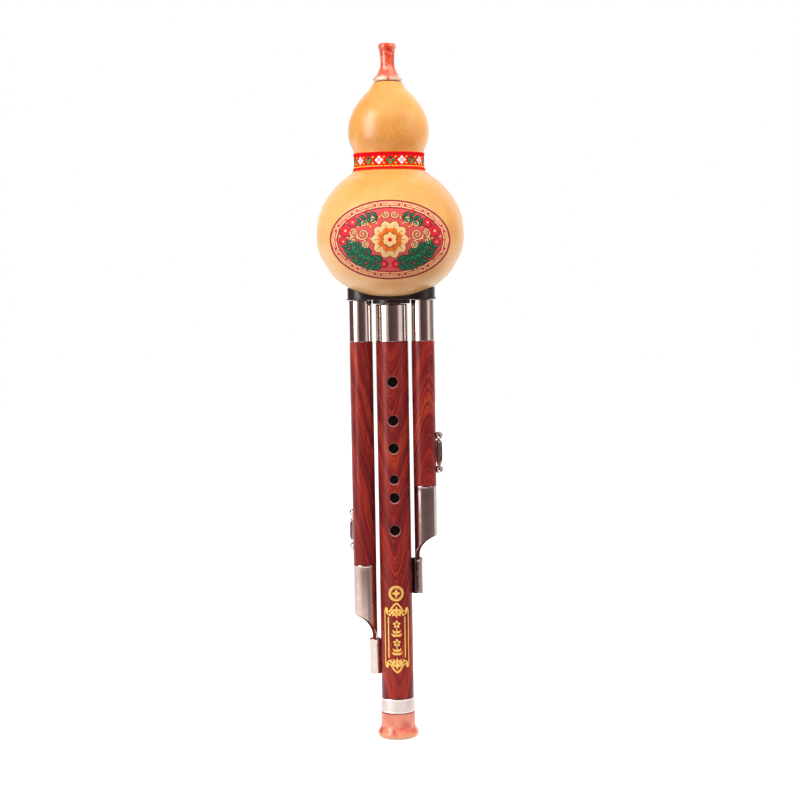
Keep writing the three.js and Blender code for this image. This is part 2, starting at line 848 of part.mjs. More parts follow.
function droneGroup(drone) {
  const group = new THREE.Group();
  group.position.x = drone.side * droneOffset;
  const inserted = droneFerruleTop - reedTubeInsert;
  const reedTop = plugTop + droneReedRise;
  const sealLow = baseBottom + sealInset;
  const sealInner = droneReedRadius + seatGap;
  const seal = tube(sealInner + droneSealThickness, sealInner, sealLow, sealLow + sealLength, droneSides);
  const [lowPost, highPost] = postHeights;
  group.add(
    piece(drone.name + "_drone_pipe", dronePipe(drone), "rosewood"),
    piece(
      drone.name + "_top_ferrule",
      ferrule(droneFerruleRadius, droneReedRadius + seatGap, droneFerruleTop, droneSides),
      "nickel",
    ),
    piece(drone.name + "_lower_sleeve", lowerSleeve(drone), "satin"),
    piece(drone.name + "_reed_tube", reedTube(droneReedRadius, reedTop, inserted, droneSides), "brass"),
    piece(drone.name + "_reed_plate", reedPlate(droneReedRadius, reedTop), "brass"),
    piece(drone.name + "_joint_seal", seal, "cork"),
    piece(drone.name + "_key_post_top", keyPost(drone, highPost), "nickel"),
    piece(drone.name + "_key_post_bottom", keyPost(drone, lowPost), "nickel"),
    piece(drone.name + "_key_rod", keyRod(drone), "nickel"),
    keyGroup(drone),
  );
  return group;
}

const flute = new THREE.Group();
flute.add(mainPipeGroup(), gourdGroup(), ...drones.map(droneGroup));

export default flute;
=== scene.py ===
import math
from bisect import bisect_left

import bmesh
import bpy
from mathutils import Matrix, Vector, noise

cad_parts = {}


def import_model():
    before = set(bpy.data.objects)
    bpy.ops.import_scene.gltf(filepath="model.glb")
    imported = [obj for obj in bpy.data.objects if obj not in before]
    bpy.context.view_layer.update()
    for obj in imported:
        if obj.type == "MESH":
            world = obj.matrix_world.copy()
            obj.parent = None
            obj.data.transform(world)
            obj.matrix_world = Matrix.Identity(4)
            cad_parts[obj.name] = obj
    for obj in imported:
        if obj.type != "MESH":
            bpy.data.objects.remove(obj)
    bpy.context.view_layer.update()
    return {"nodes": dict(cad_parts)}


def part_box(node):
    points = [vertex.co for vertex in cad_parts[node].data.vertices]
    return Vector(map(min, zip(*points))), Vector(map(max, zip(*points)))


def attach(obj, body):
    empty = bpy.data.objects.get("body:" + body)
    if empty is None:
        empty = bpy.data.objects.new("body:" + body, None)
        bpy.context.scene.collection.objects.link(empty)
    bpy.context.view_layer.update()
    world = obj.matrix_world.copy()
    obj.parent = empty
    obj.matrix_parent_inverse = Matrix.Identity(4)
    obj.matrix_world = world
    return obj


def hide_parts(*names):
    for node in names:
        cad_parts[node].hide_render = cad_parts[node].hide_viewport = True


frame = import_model()

MM = 0.001


def low(node):
    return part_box(node)[0] / MM


def high(node):
    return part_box(node)[1] / MM


def middle(node, axis):
    return (getattr(low(node), axis) + getattr(high(node), axis)) / 2


# Fits and walls, as in the solids
seat_gap = 0.3
tight_gap = 0.05
ferrule_wall = 0.8
sleeve_wall = 0.6
ring_wall = 0.9
tube_wall = 0.9
overrun = 1.0

# Facets round turned pieces, on round ends and on eased corners, and the longest step along a piece.
# A cutter's straight sides stay whole.
fine_turns = 160
small_turns = 64
end_steps = 24
ease_steps = 4
bevel_steps = 3
bevel_angle = 50
crease_angle = 32
long_step = 6.0
whole_step = 50.0

# A corner flatter than this isn't eased, and easing takes up to this share of a side
straight_angle = 12
side_share = 0.45

# Heights and radii of the pipes, read from the frame
main_radius = high("main_pipe").y
main_bore = 6.0
main_top = high("main_pipe").z
wood_low = high("main_bottom_ring").z
wood_high = low("main_top_ferrule").z
main_length = wood_high - wood_low
ferrule_radius = high("main_top_ferrule").x
ferrule_top = high("main_top_ferrule").z
ring_inner = high("main_bottom_ring").x - ring_wall
ring_radius = high("main_bottom_ring").x + 0.4
socket_radius = (high("left_foot_socket").y - low("left_foot_socket").y) / 2
drone_bore = 4.5
drone_ferrule_top = high("left_top_ferrule").z
collar_low = low("pipe_base").z

# What faces the player turns a little towards the right drone
front_turn = 2.0

# Finger holes as shares of the wood's length, the small one's place in the list, and the rear holes
finger_shares = (0.475, 0.566, 0.617, 0.704, 0.781, 0.888)
small_finger = 2
finger_radius = 3.3
small_finger_radius = 2.95
thumb_share = 0.948
vent_shares = (0.1, 0.15)
vent_radius = 2.4


# Points and outlines


def smooth_line(points, steps):
    """A smooth curve through given points, as chord-length cubic pieces with some steps each."""
    places = [Vector(p) for p in points]
    spans = [(b - a).length for a, b in zip(places, places[1:])]
    slopes = [(b - a) / span for a, b, span in zip(places, places[1:], spans)]
    tangents = [slopes[0]]
    for i in range(1, len(places) - 1):
        both = spans[i - 1] + spans[i]
        tangents.append((slopes[i - 1] * spans[i] + slopes[i] * spans[i - 1]) / both)
    tangents.append(slopes[-1])
    line = []
    for i, span in enumerate(spans):
        for k in range(steps):
            t = k / steps
            start = places[i] * (2 * t**3 - 3 * t**2 + 1)
            end = places[i + 1] * (3 * t**2 - 2 * t**3)
            leave = tangents[i] * span * (t**3 - 2 * t**2 + t)
            arrive = tangents[i + 1] * span * (t**3 - t**2)
            line.append(tuple(start + end + leave + arrive))
    line.append(tuple(places[-1]))
    return line


def eased(outline, radius):
    """A closed outline with its corners rounded off, short sides permitting."""
    count = len(outline)
    rounded = []
    for i, point in enumerate(outline):
        here = Vector(point)
        before = Vector(outline[i - 1]) - here
        after = Vector(outline[(i + 1) % count]) - here
        straight = before.angle(-after) < math.radians(straight_angle)
        if straight or here.x < tight_gap:
            rounded.append(tuple(here))
            continue
        reach = min(radius, before.length * side_share, after.length * side_share)
        start = here + before.normalized() * reach
        end = here + after.normalized() * reach
        for k in range(ease_steps + 1):
            t = k / ease_steps
            bend = start * (1 - t) ** 2 + here * 2 * t * (1 - t) + end * t**2
            rounded.append(tuple(bend))
    return rounded


def stepped(line, longest, closes=False):
    """The same line with its long stretches cut into equal steps."""
    ends = line[1:] + (line[:1] if closes else [])
    cut = []
    for start, end in zip(line, ends):
        start, end = Vector(start), Vector(end)
        count = max(1, math.ceil((end - start).length / longest))
        cut += [tuple(start.lerp(end, k / count)) for k in range(count)]
    if not closes:
        cut.append(tuple(line[-1]))
    return cut


def arc(centre, radius, start, end, steps):
    """Points on an arc between two angles."""
    angles = [math.radians(start + (end - start) * k / steps) for k in range(steps + 1)]
    return [(centre[0] + radius * math.cos(a), centre[1] + radius * math.sin(a)) for a in angles]


# Meshes


def new_object(name, data):
    made = bpy.data.objects.new(name, data)
    bpy.context.scene.collection.objects.link(made)
    return made


def mesh_object(name, points, faces):
    mesh = bpy.data.meshes.new(name)
    mesh.from_pydata([Vector(p) * MM for p in points], [], faces)
    work = bmesh.new()
    work.from_mesh(mesh)
    bmesh.ops.recalc_face_normals(work, faces=work.faces)
    work.to_mesh(mesh)
    work.free()
    return new_object(name, mesh)


def turned(name, outline, turns, step):
    """A piece turned about the Z axis from a closed outline of radius and height."""
    points, rings = [], []
    for radius, height in stepped(outline, step, closes=True):
        start = len(points)
        if radius < tight_gap / 10:
            points.append((0, 0, height))
            rings.append([start] * turns)
            continue
        for i in range(turns):
            angle = 2 * math.pi * i / turns
            points.append((radius * math.cos(angle), radius * math.sin(angle), height))
        rings.append([start + i for i in range(turns)])
    faces = []
    for k, ring in enumerate(rings):
        above = rings[(k + 1) % len(rings)]
        for i in range(turns):
            j = (i + 1) % turns
            corners = list(dict.fromkeys((ring[i], ring[j], above[j], above[i])))
            if len(corners) > 2:
                faces.append(corners)
    return mesh_object(name, points, faces)


def rod(name, radius, start, end, turns):
    """A plain round bar along Z, mostly as a cutter."""
    return turned(name, [(0, start), (radius, start), (radius, end), (0, end)], turns, whole_step)


def ball(name, radius, steps, turns):
    """A ball turned about Z from a half circle."""
    angles = [math.radians(-90 + 180 * k / steps) for k in range(1, steps)]
    curve = [(radius * math.cos(a), radius * math.sin(a)) for a in angles]
    return turned(name, [(0, -radius), *curve, (0, radius)], turns, whole_step)


def add_slab(points, faces, top, bottom, wraps=False):
    """Adds a closed thin body between two grids of points, rows of equal length."""
    rows, columns = len(top), len(top[0])
    start = len(points)
    for grid in (top, bottom):
        for row in grid:
            points.extend(row)

    def at(layer, i, j):
        return start + (layer * rows + i % rows) * columns + j

    for i in range(rows if wraps else rows - 1):
        for j in range(columns - 1):
            faces.append([at(0, i, j), at(0, i, j + 1), at(0, i + 1, j + 1), at(0, i + 1, j)])
            faces.append([at(1, i, j), at(1, i + 1, j), at(1, i + 1, j + 1), at(1, i, j + 1)])
        for j in (0, columns - 1):
            faces.append([at(0, i, j), at(0, i + 1, j), at(1, i + 1, j), at(1, i, j)])
    if not wraps:
        for i in (0, rows - 1):
            for j in range(columns - 1):
                faces.append([at(0, i, j), at(0, i, j + 1), at(1, i, j + 1), at(1, i, j)])


def slab(name, top, bottom, wraps=False):
    points, faces = [], []
    add_slab(points, faces, top, bottom, wraps)
    return mesh_object(name, points, faces)


def placed(made, *moves):
    for move in moves:
        made.data.transform(move)
    return made


def shift(x=0.0, y=0.0, z=0.0):
    return Matrix.Translation(Vector((x, y, z)) * MM)


def spin(angle, axis="Z"):
    return Matrix.Rotation(math.radians(angle), 4, axis)


def applied(made):
    """The object with its modifiers worked into its mesh."""
    graph = bpy.context.evaluated_depsgraph_get()
    mesh = bpy.data.meshes.new_from_object(made.evaluated_get(graph))
    made.modifiers.clear()
    made.data = mesh
    return made


def combined(made, other, operation="DIFFERENCE"):
    """Cuts, joins or intersects one object with another, which is used up."""
    step = made.modifiers.new("combine", "BOOLEAN")
    step.operation = operation
    step.solver = "EXACT"
    if other.data.materials:
        step.material_mode = "TRANSFER"
    step.object = other
    applied(made)
    bpy.data.objects.remove(other)
    return made


def gathered(name, parts):
    """Several separate bodies as one object."""
    work = bmesh.new()
    mesh = bpy.data.meshes.new(name)
    for part in parts:
        for finish in part.data.materials:
            if finish.name not in mesh.materials:
                mesh.materials.append(finish)
    for part in parts:
        work.from_mesh(part.data)
        bpy.data.objects.remove(part)
    work.to_mesh(mesh)
    work.free()
    return new_object(name, mesh)


def bevelled(made, width):
    ease = made.modifiers.new("ease", "BEVEL")
    ease.width = width * MM
    ease.segments = bevel_steps
    ease.limit_method = "ANGLE"
    ease.angle_limit = math.radians(bevel_angle)
    return applied(made)


def dressed(made, body, finish, nodes=(), crease=crease_angle):
    """Gives a finished mesh its material and smooth shading, puts it on the body it rides on and hides the
    nodes it stands for.
    """
    if not made.data.materials:
        made.data.materials.append(finish)
    made.data.shade_smooth()
    made.data.set_sharp_from_angle(angle=math.radians(crease))
    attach(made, body)
    if nodes:
        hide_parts(*nodes)
    return made


# Nodes of the materials


def colour(text):
    """A colour written as six hex digits, as linear values."""
    shares = [int(text[i : i + 2], 16) / 255 for i in (0, 2, 4)]
    linear = [s / 12.92 if s <= 0.04045 else ((s + 0.055) / 1.055) ** 2.4 for s in shares]
    return (*linear, 1.0)


def add(tree, kind, inputs=None, **settings):
    """A node with its settings made and its inputs set or linked."""
    made = tree.nodes.new(kind)
    for key, value in settings.items():
        setattr(made, key, value)
    for key, value in (inputs or {}).items():
        if isinstance(value, bpy.types.NodeSocket):
            tree.links.new(value, made.inputs[key])
        else:
            made.inputs[key].default_value = value
    return made


def maths(tree, operation, *values):
    return add(tree, "ShaderNodeMath", dict(enumerate(values)), operation=operation).outputs[0]


def times(tree, one, other):
    return maths(tree, "MULTIPLY", one, other)


def plus(tree, one, other):
    return maths(tree, "ADD", one, other)


def minus(tree, one, other):
    return maths(tree, "SUBTRACT", one, other)


def spread(tree, value, low_in, high_in, low_out, high_out):
    """A value's range moved to another range, and held there."""
    values = {0: value, 1: low_in, 2: high_in, 3: low_out, 4: high_out}
    return add(tree, "ShaderNodeMapRange", values).outputs[0]


def mixed(tree, share, first, second):
    return add(tree, "ShaderNodeMix", {0: share, 6: first, 7: second}, data_type="RGBA").outputs[2]


def layered(tree, base, layers):
    """Lays colours over a base, each growing to its most as its value goes from a start to an end."""
    for text, value, start, end, most in layers:
        base = mixed(tree, spread(tree, value, start, end, 0.0, most), base, colour(text))
    return base


def ramp(tree, share, stops):
    made = add(tree, "ShaderNodeValToRGB", {0: share})
    elements = made.color_ramp.elements
    while len(elements) < len(stops):
        elements.new(0.5)
    for element, (position, text) in zip(elements, stops):
        element.position = position
        element.color = colour(text)
    return made.outputs[0]


def axes(tree, place):
    """A place's X, Y and Z."""
    return add(tree, "ShaderNodeSeparateXYZ", {0: place}).outputs


def vector_maths(tree, operation, inputs):
    return add(tree, "ShaderNodeVectorMath", inputs, operation=operation).outputs


def scaled(tree, place, x, y, z):
    return vector_maths(tree, "MULTIPLY", {0: place, 1: (x, y, z)})[0]


def from_origin(tree, place):
    """How far a place is from the origin."""
    return vector_maths(tree, "LENGTH", {0: place})["Value"]


def object_place(tree):
    """A place on the piece, in metres."""
    return add(tree, "ShaderNodeTexCoord").outputs["Object"]


def in_millimetres(tree):
    return scaled(tree, object_place(tree), 1 / MM, 1 / MM, 1 / MM)


def speckle(tree, place, scale, detail=2.0, rough=0.5):
    values = {"Vector": place, "Scale": scale, "Detail": detail, "Roughness": rough}
    return add(tree, "ShaderNodeTexNoise", values).outputs["Fac"]


def bump(tree, height, distance):
    values = {"Height": height, "Distance": distance * MM, "Strength": 1.0}
    return add(tree, "ShaderNodeBump", values).outputs[0]


FLOAT = "NodeSocketFloat"
VECTOR = "NodeSocketVector"


def new_group(name, inputs, results):
    """An effect shared by several finishes. It takes a place and named values, and gives out values."""
    tree = bpy.data.node_groups.new(name, "ShaderNodeTree")
    tree.interface.new_socket("Place", in_out="INPUT", socket_type=VECTOR)
    for label in inputs:
        tree.interface.new_socket(label, in_out="INPUT", socket_type=FLOAT)
    for label in results:
        tree.interface.new_socket(label, in_out="OUTPUT", socket_type=FLOAT)
    entry = tree.nodes.new("NodeGroupInput").outputs
    return tree, entry, tree.nodes.new("NodeGroupOutput").inputs


def use_group(tree, group, inputs):
    return add(tree, "ShaderNodeGroup", inputs, node_tree=group).outputs


def new_finish(name, **constants):
    """A material with its Principled shader's even values set, its nodes and a place in millimetres."""
    material = bpy.data.materials.new(name)
    material.use_nodes = True
    tree = material.node_tree
    shader = tree.nodes["Principled BSDF"].inputs
    for label, value in constants.items():
        shader[label.replace("_", " ").title().replace("Ior", "IOR")].default_value = value
    return material, tree, in_millimetres(tree)


def finished(material, base, rough=None, relief=None):
    """Links a material's colour, roughness and relief to its shader."""
    tree = material.node_tree
    shader = tree.nodes["Principled BSDF"].inputs
    for label, value in (("Base Color", base), ("Roughness", rough), ("Normal", relief)):
        if value is not None:
            tree.links.new(value, shader[label])
    return material


def overlaid(material, *layers):
    """Lays more colours over a finished material."""
    tree = material.node_tree
    shader = tree.nodes["Principled BSDF"].inputs
    under = shader["Base Color"].links[0].from_socket
    tree.links.new(layered(tree, under, layers), shader["Base Color"])
    return material


scratch_gap = 0.4
thread_gap = 0.35


def handling_group():
    """Traces of use: soft smudges and fine scratches."""
    tree, entry, results = new_group("handling", (), ("Smudge", "Scratch"))
    smudge = speckle(tree, entry["Place"], 0.16, 4.0, 0.6)
    tree.links.new(spread(tree, smudge, 0.35, 0.7, 0.0, 1.0), results["Smudge"])
    lines = speckle(tree, scaled(tree, entry["Place"], 1.0, 1.0, 0.05), 1 / scratch_gap, 3.0, 0.7)
    tree.links.new(spread(tree, lines, 0.6, 0.72, 0.0, 1.0), results["Scratch"])
    return tree


def brushed_group():
    """Fine lines left round a turned piece by the polishing wheel."""
    tree, entry, results = new_group("brushed", ("Line Gap",), ("Lines",))
    finer = maths(tree, "DIVIDE", 1.0, entry["Line Gap"])
    lines = speckle(tree, scaled(tree, entry["Place"], 0.06, 0.06, 1.0), finer, 3.0, 0.6)
    tree.links.new(lines, results["Lines"])
    return tree


def wood_group():
    """Slanting growth rings that make nested points down a pipe, with fibres and pores."""
    inputs = ("Figure Centre", "Slant", "Sharpness")
    tree, entry, results = new_group("wood", inputs, ("Zones", "Lines", "Fibre", "Pores"))
    place = entry["Place"]
    apart = axes(tree, place)
    wander = speckle(tree, scaled(tree, place, 0.02, 0.02, 0.016), 1.0)
    sway = times(tree, minus(tree, wander, 0.5), 9.0)
    offset = plus(tree, minus(tree, apart["X"], entry["Figure Centre"]), sway)
    away = maths(tree, "SQRT", plus(tree, times(tree, offset, offset), entry["Sharpness"]))
    ripple = speckle(tree, scaled(tree, place, 0.11, 0.11, 0.03), 1.0)
    ripples = times(tree, minus(tree, ripple, 0.5), 3.6)
    depth = plus(tree, minus(tree, times(tree, apart["Z"], entry["Slant"]), away), ripples)
    depth = plus(tree, depth, times(tree, apart["Y"], 0.12))
    for label, gap, detail in (("Zones", 5.5, 1.0), ("Lines", 0.7, 3.0)):
        values = {"W": maths(tree, "DIVIDE", depth, gap), "Scale": 1.0, "Detail": detail}
        bands = add(tree, "ShaderNodeTexNoise", values, noise_dimensions="1D").outputs["Fac"]
        tree.links.new(bands, results[label])
    fibre = speckle(tree, scaled(tree, place, 0.9, 0.9, 0.09), 1.0, 4.0, 0.7)
    tree.links.new(fibre, results["Fibre"])
    pores = speckle(tree, scaled(tree, place, 4.0, 4.0, 0.22), 1.0, 1.0)
    tree.links.new(spread(tree, pores, 0.62, 0.74, 0.0, 1.0), results["Pores"])
    return tree


def stone_group():
    """Bands and clouds that swirl through a polished stone."""
    tree, entry, results = new_group("stone", ("Band Gap", "Swirl"), ("Bands", "Clouds", "Veins"))
    warp = add(tree, "ShaderNodeTexNoise", {"Vector": entry["Place"], "Scale": 0.09, "Detail": 2.0})
    centred = vector_maths(tree, "SUBTRACT", {0: warp.outputs["Color"], 1: (0.5, 0.5, 0.5)})[0]
    push = vector_maths(tree, "SCALE", {0: centred, "Scale": entry["Swirl"]})[0]
    bent = vector_maths(tree, "ADD", {0: entry["Place"], 1: push})[0]
    leaning = add(tree, "ShaderNodeMapping", {"Vector": bent, "Rotation": (0.5, 0.9, 0.3)}).outputs[0]
    wave = maths(tree, "DIVIDE", axes(tree, leaning)["X"], entry["Band Gap"])
    bands = maths(tree, "SINE", times(tree, wave, 2 * math.pi))
    tree.links.new(spread(tree, bands, -1.0, 1.0, 0.0, 1.0), results["Bands"])
    clouds = speckle(tree, bent, 0.17)
    tree.links.new(clouds, results["Clouds"])
    veins = maths(tree, "ABSOLUTE", minus(tree, clouds, 0.5))
    tree.links.new(spread(tree, veins, 0.0, 0.035, 1.0, 0.0), results["Veins"])
    return tree


def weave_group():
    """Threads over and under, as a height."""
    tree, entry, results = new_group("weave", (), ("Height", "Shade"))
    apart = axes(tree, entry["Place"])
    angle = maths(tree, "ARCTAN2", apart["Y"], apart["X"])
    around = times(tree, angle, high("neck_ribbon").x)
    step = math.pi / thread_gap
    weft = maths(tree, "SINE", times(tree, apart["Z"], step))
    warp = maths(tree, "SINE", times(tree, around, step))
    tree.links.new(spread(tree, times(tree, weft, warp), -1.0, 1.0, 0.0, 1.0), results["Height"])
    fuzz = speckle(tree, entry["Place"], 2.2, 3.0, 0.7)
    tree.links.new(spread(tree, fuzz, 0.3, 0.7, 0.0, 1.0), results["Shade"])
    return tree


handling = handling_group()
brushed = brushed_group()
wood = wood_group()
stone = stone_group()
weave = weave_group()


def smudged(tree, place, smooth, rough):
    """A roughness that rises where fingers have smudged the piece."""
    return spread(tree, use_group(tree, handling, {"Place": place})["Smudge"], 0.0, 1.0, smooth, rough)


def gourd_finish():
    """Dried gourd under satin lacquer: golden, cloudy, with orange patches, small brown specks and painted
    light and shade.
    """
    material, tree, place = new_finish(
        "gourd_lacquer",
        coat_weight=0.8,
        coat_roughness=0.28,
        sheen_weight=0.85,
        sheen_roughness=0.42,
        sheen_tint=colour("ffd49a"),
    )
    clouds = speckle(tree, scaled(tree, place, 1.0, 1.0, 0.8), 0.028, 3.0)
    base = ramp(tree, clouds, [(0.30, "d89040"), (0.48, "e79f46"), (0.62, "efae56"), (0.78, "e79b42")])
    fine = speckle(tree, place, 0.9, 5.0, 0.65)
    apart = axes(tree, place)
    foot = low("gourd_shell").z
    layers = (
        ("f59c3a", speckle(tree, place, 0.045), 0.52, 0.72, 0.55),
        ("ca863c", fine, 0.42, 0.62, 0.5),
        ("b47434", speckle(tree, place, 0.42, 1.0), 0.68, 0.78, 0.22),
        ("ffcf88", speckle(tree, place, 0.75, 2.0, 0.6), 0.54, 0.72, 0.26),
        # Painted light: the left side turns paler towards its edge, where the lamp on the left lights it.
        ("f8cf88", apart["X"], -18.0, -45.0, 0.72),
        # Towards the foot the skin turns sandier: partly its own tone, partly painted shade of the lower
        # bulb's underside.
        ("e2a66a", apart["Z"], foot + 40, foot, 0.5),
        # Painted light: just above the base the colour rises to a bright orange, lighting the bottom edge.
        ("ffc27a", apart["Z"], foot + 14, foot + 1, 0.9),
    )
    base = layered(tree, base, layers)
    return finished(material, base, smudged(tree, place, 0.30, 0.38), bump(tree, fine, 0.06))


def rosewood_finish(name, centre, slant, sharpness, painted_shade_below=0.0):
    """Oiled rosewood: deep red, with orange and near-black growth rings, and painted shade below a given
    height.
    """
    material, tree, place = new_finish(
        name,
        specular_ior_level=0.32,
        specular_tint=colour("ffb49c"),
        coat_weight=0.55,
        coat_ior=1.22,
        coat_roughness=0.1,
    )
    values = {"Place": place, "Figure Centre": centre, "Slant": slant, "Sharpness": sharpness}
    figure = use_group(tree, wood, values)
    stops = [(0.30, "661920"), (0.42, "802022"), (0.52, "932724"), (0.62, "a63024"), (0.72, "b54426")]
    base = ramp(tree, figure["Zones"], stops)
    patches = speckle(tree, scaled(tree, place, 0.09, 0.09, 0.03), 1.0)
    uneven = spread(tree, patches, 0.38, 0.62, 0.25, 1.0)
    dark = times(tree, spread(tree, figure["Lines"], 0.40, 0.54, 0.8, 0.0), uneven)
    lined = mixed(tree, dark, base, colour("45101a"))
    layers = (
        ("c8482a", figure["Lines"], 0.56, 0.72, 0.35),
        ("5a141a", figure["Fibre"], 0.42, 0.66, 0.6),
        ("3a0e12", figure["Pores"], 0.0, 1.0, 0.5),
        # Painted shade: below the sleeve's top the wood turns near black, for the shaded tongue under the
        # sleeve.
        ("1c0a12", axes(tree, place)["Z"], painted_shade_below, painted_shade_below - 1.0, 0.5),
    )
    grain = bump(tree, minus(tree, figure["Fibre"], figure["Pores"]), 0.02)
    return finished(material, layered(tree, lined, layers), smudged(tree, place, 0.34, 0.44), grain)


def bore_finish():
    """The dull wall of a bored hole, a pale mauve grey as painted light in the hole's shaded inside."""
    material, tree, place = new_finish("bored_wood")
    marks = speckle(tree, place, 0.8, 3.0, 0.6)
    # Painted light: these greys are far paler than the wood, to brighten the hole's shaded inside.
    base = layered(tree, colour("84666a"), (("96777a", marks, 0.0, 1.0, 1.0),))
    return finished(material, base, spread(tree, marks, 0.3, 0.7, 0.6, 0.8), bump(tree, marks, 0.05))


def rim_finish():
    """The eased rim of a finger hole, painted pale as a highlight where its edge catches the light."""
    material, tree, place = new_finish("rim_highlight_paint")
    marks = speckle(tree, place, 0.9, 3.0, 0.6)
    base = layered(tree, colour("b98076"), (("9c5f56", marks, 0.0, 1.0, 1.0),))
    return finished(material, base, spread(tree, marks, 0.3, 0.7, 0.3, 0.45))


def agate_finish():
    """Polished red agate with pale swirls and a cream rim."""
    material, tree, place = new_finish("agate", coat_weight=1.0, coat_roughness=0.03)
    swirl = use_group(tree, stone, {"Place": place, "Band Gap": 7.5, "Swirl": 9.0})
    stops = [(0.3, "c42c1c"), (0.46, "e04a2c"), (0.56, "e8623e"), (0.72, "f29e86")]
    apart = axes(tree, place)
    layers = (
        ("ea7c5c", swirl["Bands"], 0.72, 1.0, 0.7),
        ("a51a10", swirl["Veins"], 0.0, 1.0, 0.35),
        ("cc7a64", apart["Z"], rim_low + 12.0, rim_low + 3.0, 0.55),
    )
    base = layered(tree, ramp(tree, swirl["Clouds"], stops), layers)
    drift = times(tree, minus(tree, swirl["Clouds"], 0.5), 5.0)
    rim = spread(tree, plus(tree, apart["Z"], drift), rim_low + 1.2, rim_low + 3.0, 0.9, 0.0)
    aside = maths(tree, "ABSOLUTE", plus(tree, apart["X"], drift))
    rim = times(tree, rim, spread(tree, aside, 0.7, 1.6, 0.0, 1.0))
    base = mixed(tree, rim, base, colour("ecd0b4"))
    return finished(material, base, smudged(tree, place, 0.10, 0.20), bump(tree, swirl["Clouds"], 0.02))


def coral_finish():
    """Polished coral stone: salmon with red clouds, painted light on its front and lip, and painted shade
    in its joint.
    """
    material, tree, place = new_finish("coral", coat_weight=0.5, coat_roughness=0.05)
    swirl = use_group(tree, stone, {"Place": place, "Band Gap": 11.0, "Swirl": 12.0})
    stops = [(0.32, "bc4236"), (0.43, "ca5848"), (0.55, "d26852"), (0.68, "dc8262")]
    # Painted light: a pale patch about this spot on the neck's front, where light falls on the bell's
    # middle.
    painted_light_spot = (-0.5, -10.0, 14.0)
    from_painted_light = from_origin(tree, vector_maths(tree, "SUBTRACT", {0: place, 1: painted_light_spot})[0])
    height = axes(tree, place)["Z"]
    joint = low("main_bottom_ring").z
    layers = (
        ("e08e70", swirl["Bands"], 0.55, 1.0, 0.6),
        ("cf4f45", swirl["Veins"], 0.0, 1.0, 0.2),
        ("de8a6c", from_painted_light, 8.0, 1.5, 0.8),
        # The lip turns paler and more orange: partly the stone's tone, partly painted light on the lip's
        # lower part.
        ("f0ac72", height, 4.6, 0.6, 0.95),
        # Painted shade: a dark line at the top of the neck, in the joint under the ring.
        ("6e2a26", height, joint - 1.0, joint - 0.35, 0.85),
    )
    base = layered(tree, ramp(tree, swirl["Clouds"], stops), layers)
    return finished(material, base, smudged(tree, place, 0.16, 0.28), bump(tree, swirl["Clouds"], 0.02))


def metal_finish(name, tone, shade, smooth, rough, line_gap, relief):
    """A metal with its polishing lines, smudges and fine scratches."""
    material, tree, place = new_finish(name, metallic=1.0)
    worn = use_group(tree, handling, {"Place": place})
    lines = use_group(tree, brushed, {"Place": place, "Line Gap": line_gap})["Lines"]
    layers = ((shade, worn["Smudge"], 0.0, 1.0, 0.45), (shade, worn["Scratch"], 0.0, 1.0, 0.25))
    base = layered(tree, colour(tone), layers)
    smudges = spread(tree, worn["Smudge"], 0.0, 1.0, smooth, rough)
    return finished(material, base, smudges, bump(tree, lines, relief))


def ring_finish(node):
    """Satin nickel whose rolled edges are painted near white, as a painted highlight along them."""
    material = metal_finish("ring_satin", "dccfca", "c3b3ad", 0.3, 0.36, 0.3, 0.006)
    tree = material.node_tree
    height = axes(tree, in_millimetres(tree))["Z"]
    away = maths(tree, "ABSOLUTE", minus(tree, height, middle(node, "z")))
    half = high(node).z - middle(node, "z")
    # Painted highlight: the colour rises to near white within a millimetre of each end.
    return overlaid(material, ("fdf6f2", away, half - 1.0, half - 0.6, 1.0))


def shade_painted_finish(node):
    """Nickel with a ragged dark patch down the left part of its front, a painted reflection of the shaded
    pipe beside it.
    """
    material = metal_finish("shade_painted_nickel", "e4d6ce", "c2b0a8", 0.07, 0.13, 0.3, 0.008)
    tree = material.node_tree
    place = in_millimetres(tree)
    ragged = speckle(tree, scaled(tree, place, 1.1, 1.1, 0.5), 1.0, 4.0, 0.65)
    limit = plus(tree, axes(tree, place)["X"], spread(tree, ragged, 0.3, 0.7, -0.7, 0.7))
    centre = middle(node, "x")
    # Painted reflection: the dark patch covers the part that faces the main pipe's shaded side.
    return overlaid(material, ("2c2226", limit, centre + 0.9, centre + 0.2, 0.92))


def black_finish():
    """Glossy black lacquer with faint dust and worn spots, and a browner lower edge."""
    material, tree, place = new_finish(
        "black_lacquer", specular_ior_level=0.4, coat_weight=0.12, coat_roughness=0.05
    )
    worn = use_group(tree, handling, {"Place": place})["Smudge"]
    layers = (
        ("2b2528", worn, 0.0, 1.0, 1.0),
        ("2f1f20", axes(tree, place)["Z"], base_bottom + 1.6, base_bottom + 1.0, 0.85),
    )
    base = layered(tree, colour("1d191b"), layers)
    ripple = speckle(tree, place, 0.35, 3.0, 0.6)
    return finished(material, base, spread(tree, worn, 0.0, 1.0, 0.22, 0.38), bump(tree, ripple, 0.12))


def grained_finish(name, scale, detail, rough, stops, dull, relief):
    """Cork or leather: one grain that gives the colour, the roughness and the relief."""
    material, tree, place = new_finish(name)
    grains = speckle(tree, place, scale, detail, rough)
    dulled = spread(tree, grains, 0.3, 0.7, *dull)
    return finished(material, ramp(tree, grains, stops), dulled, bump(tree, grains, relief))


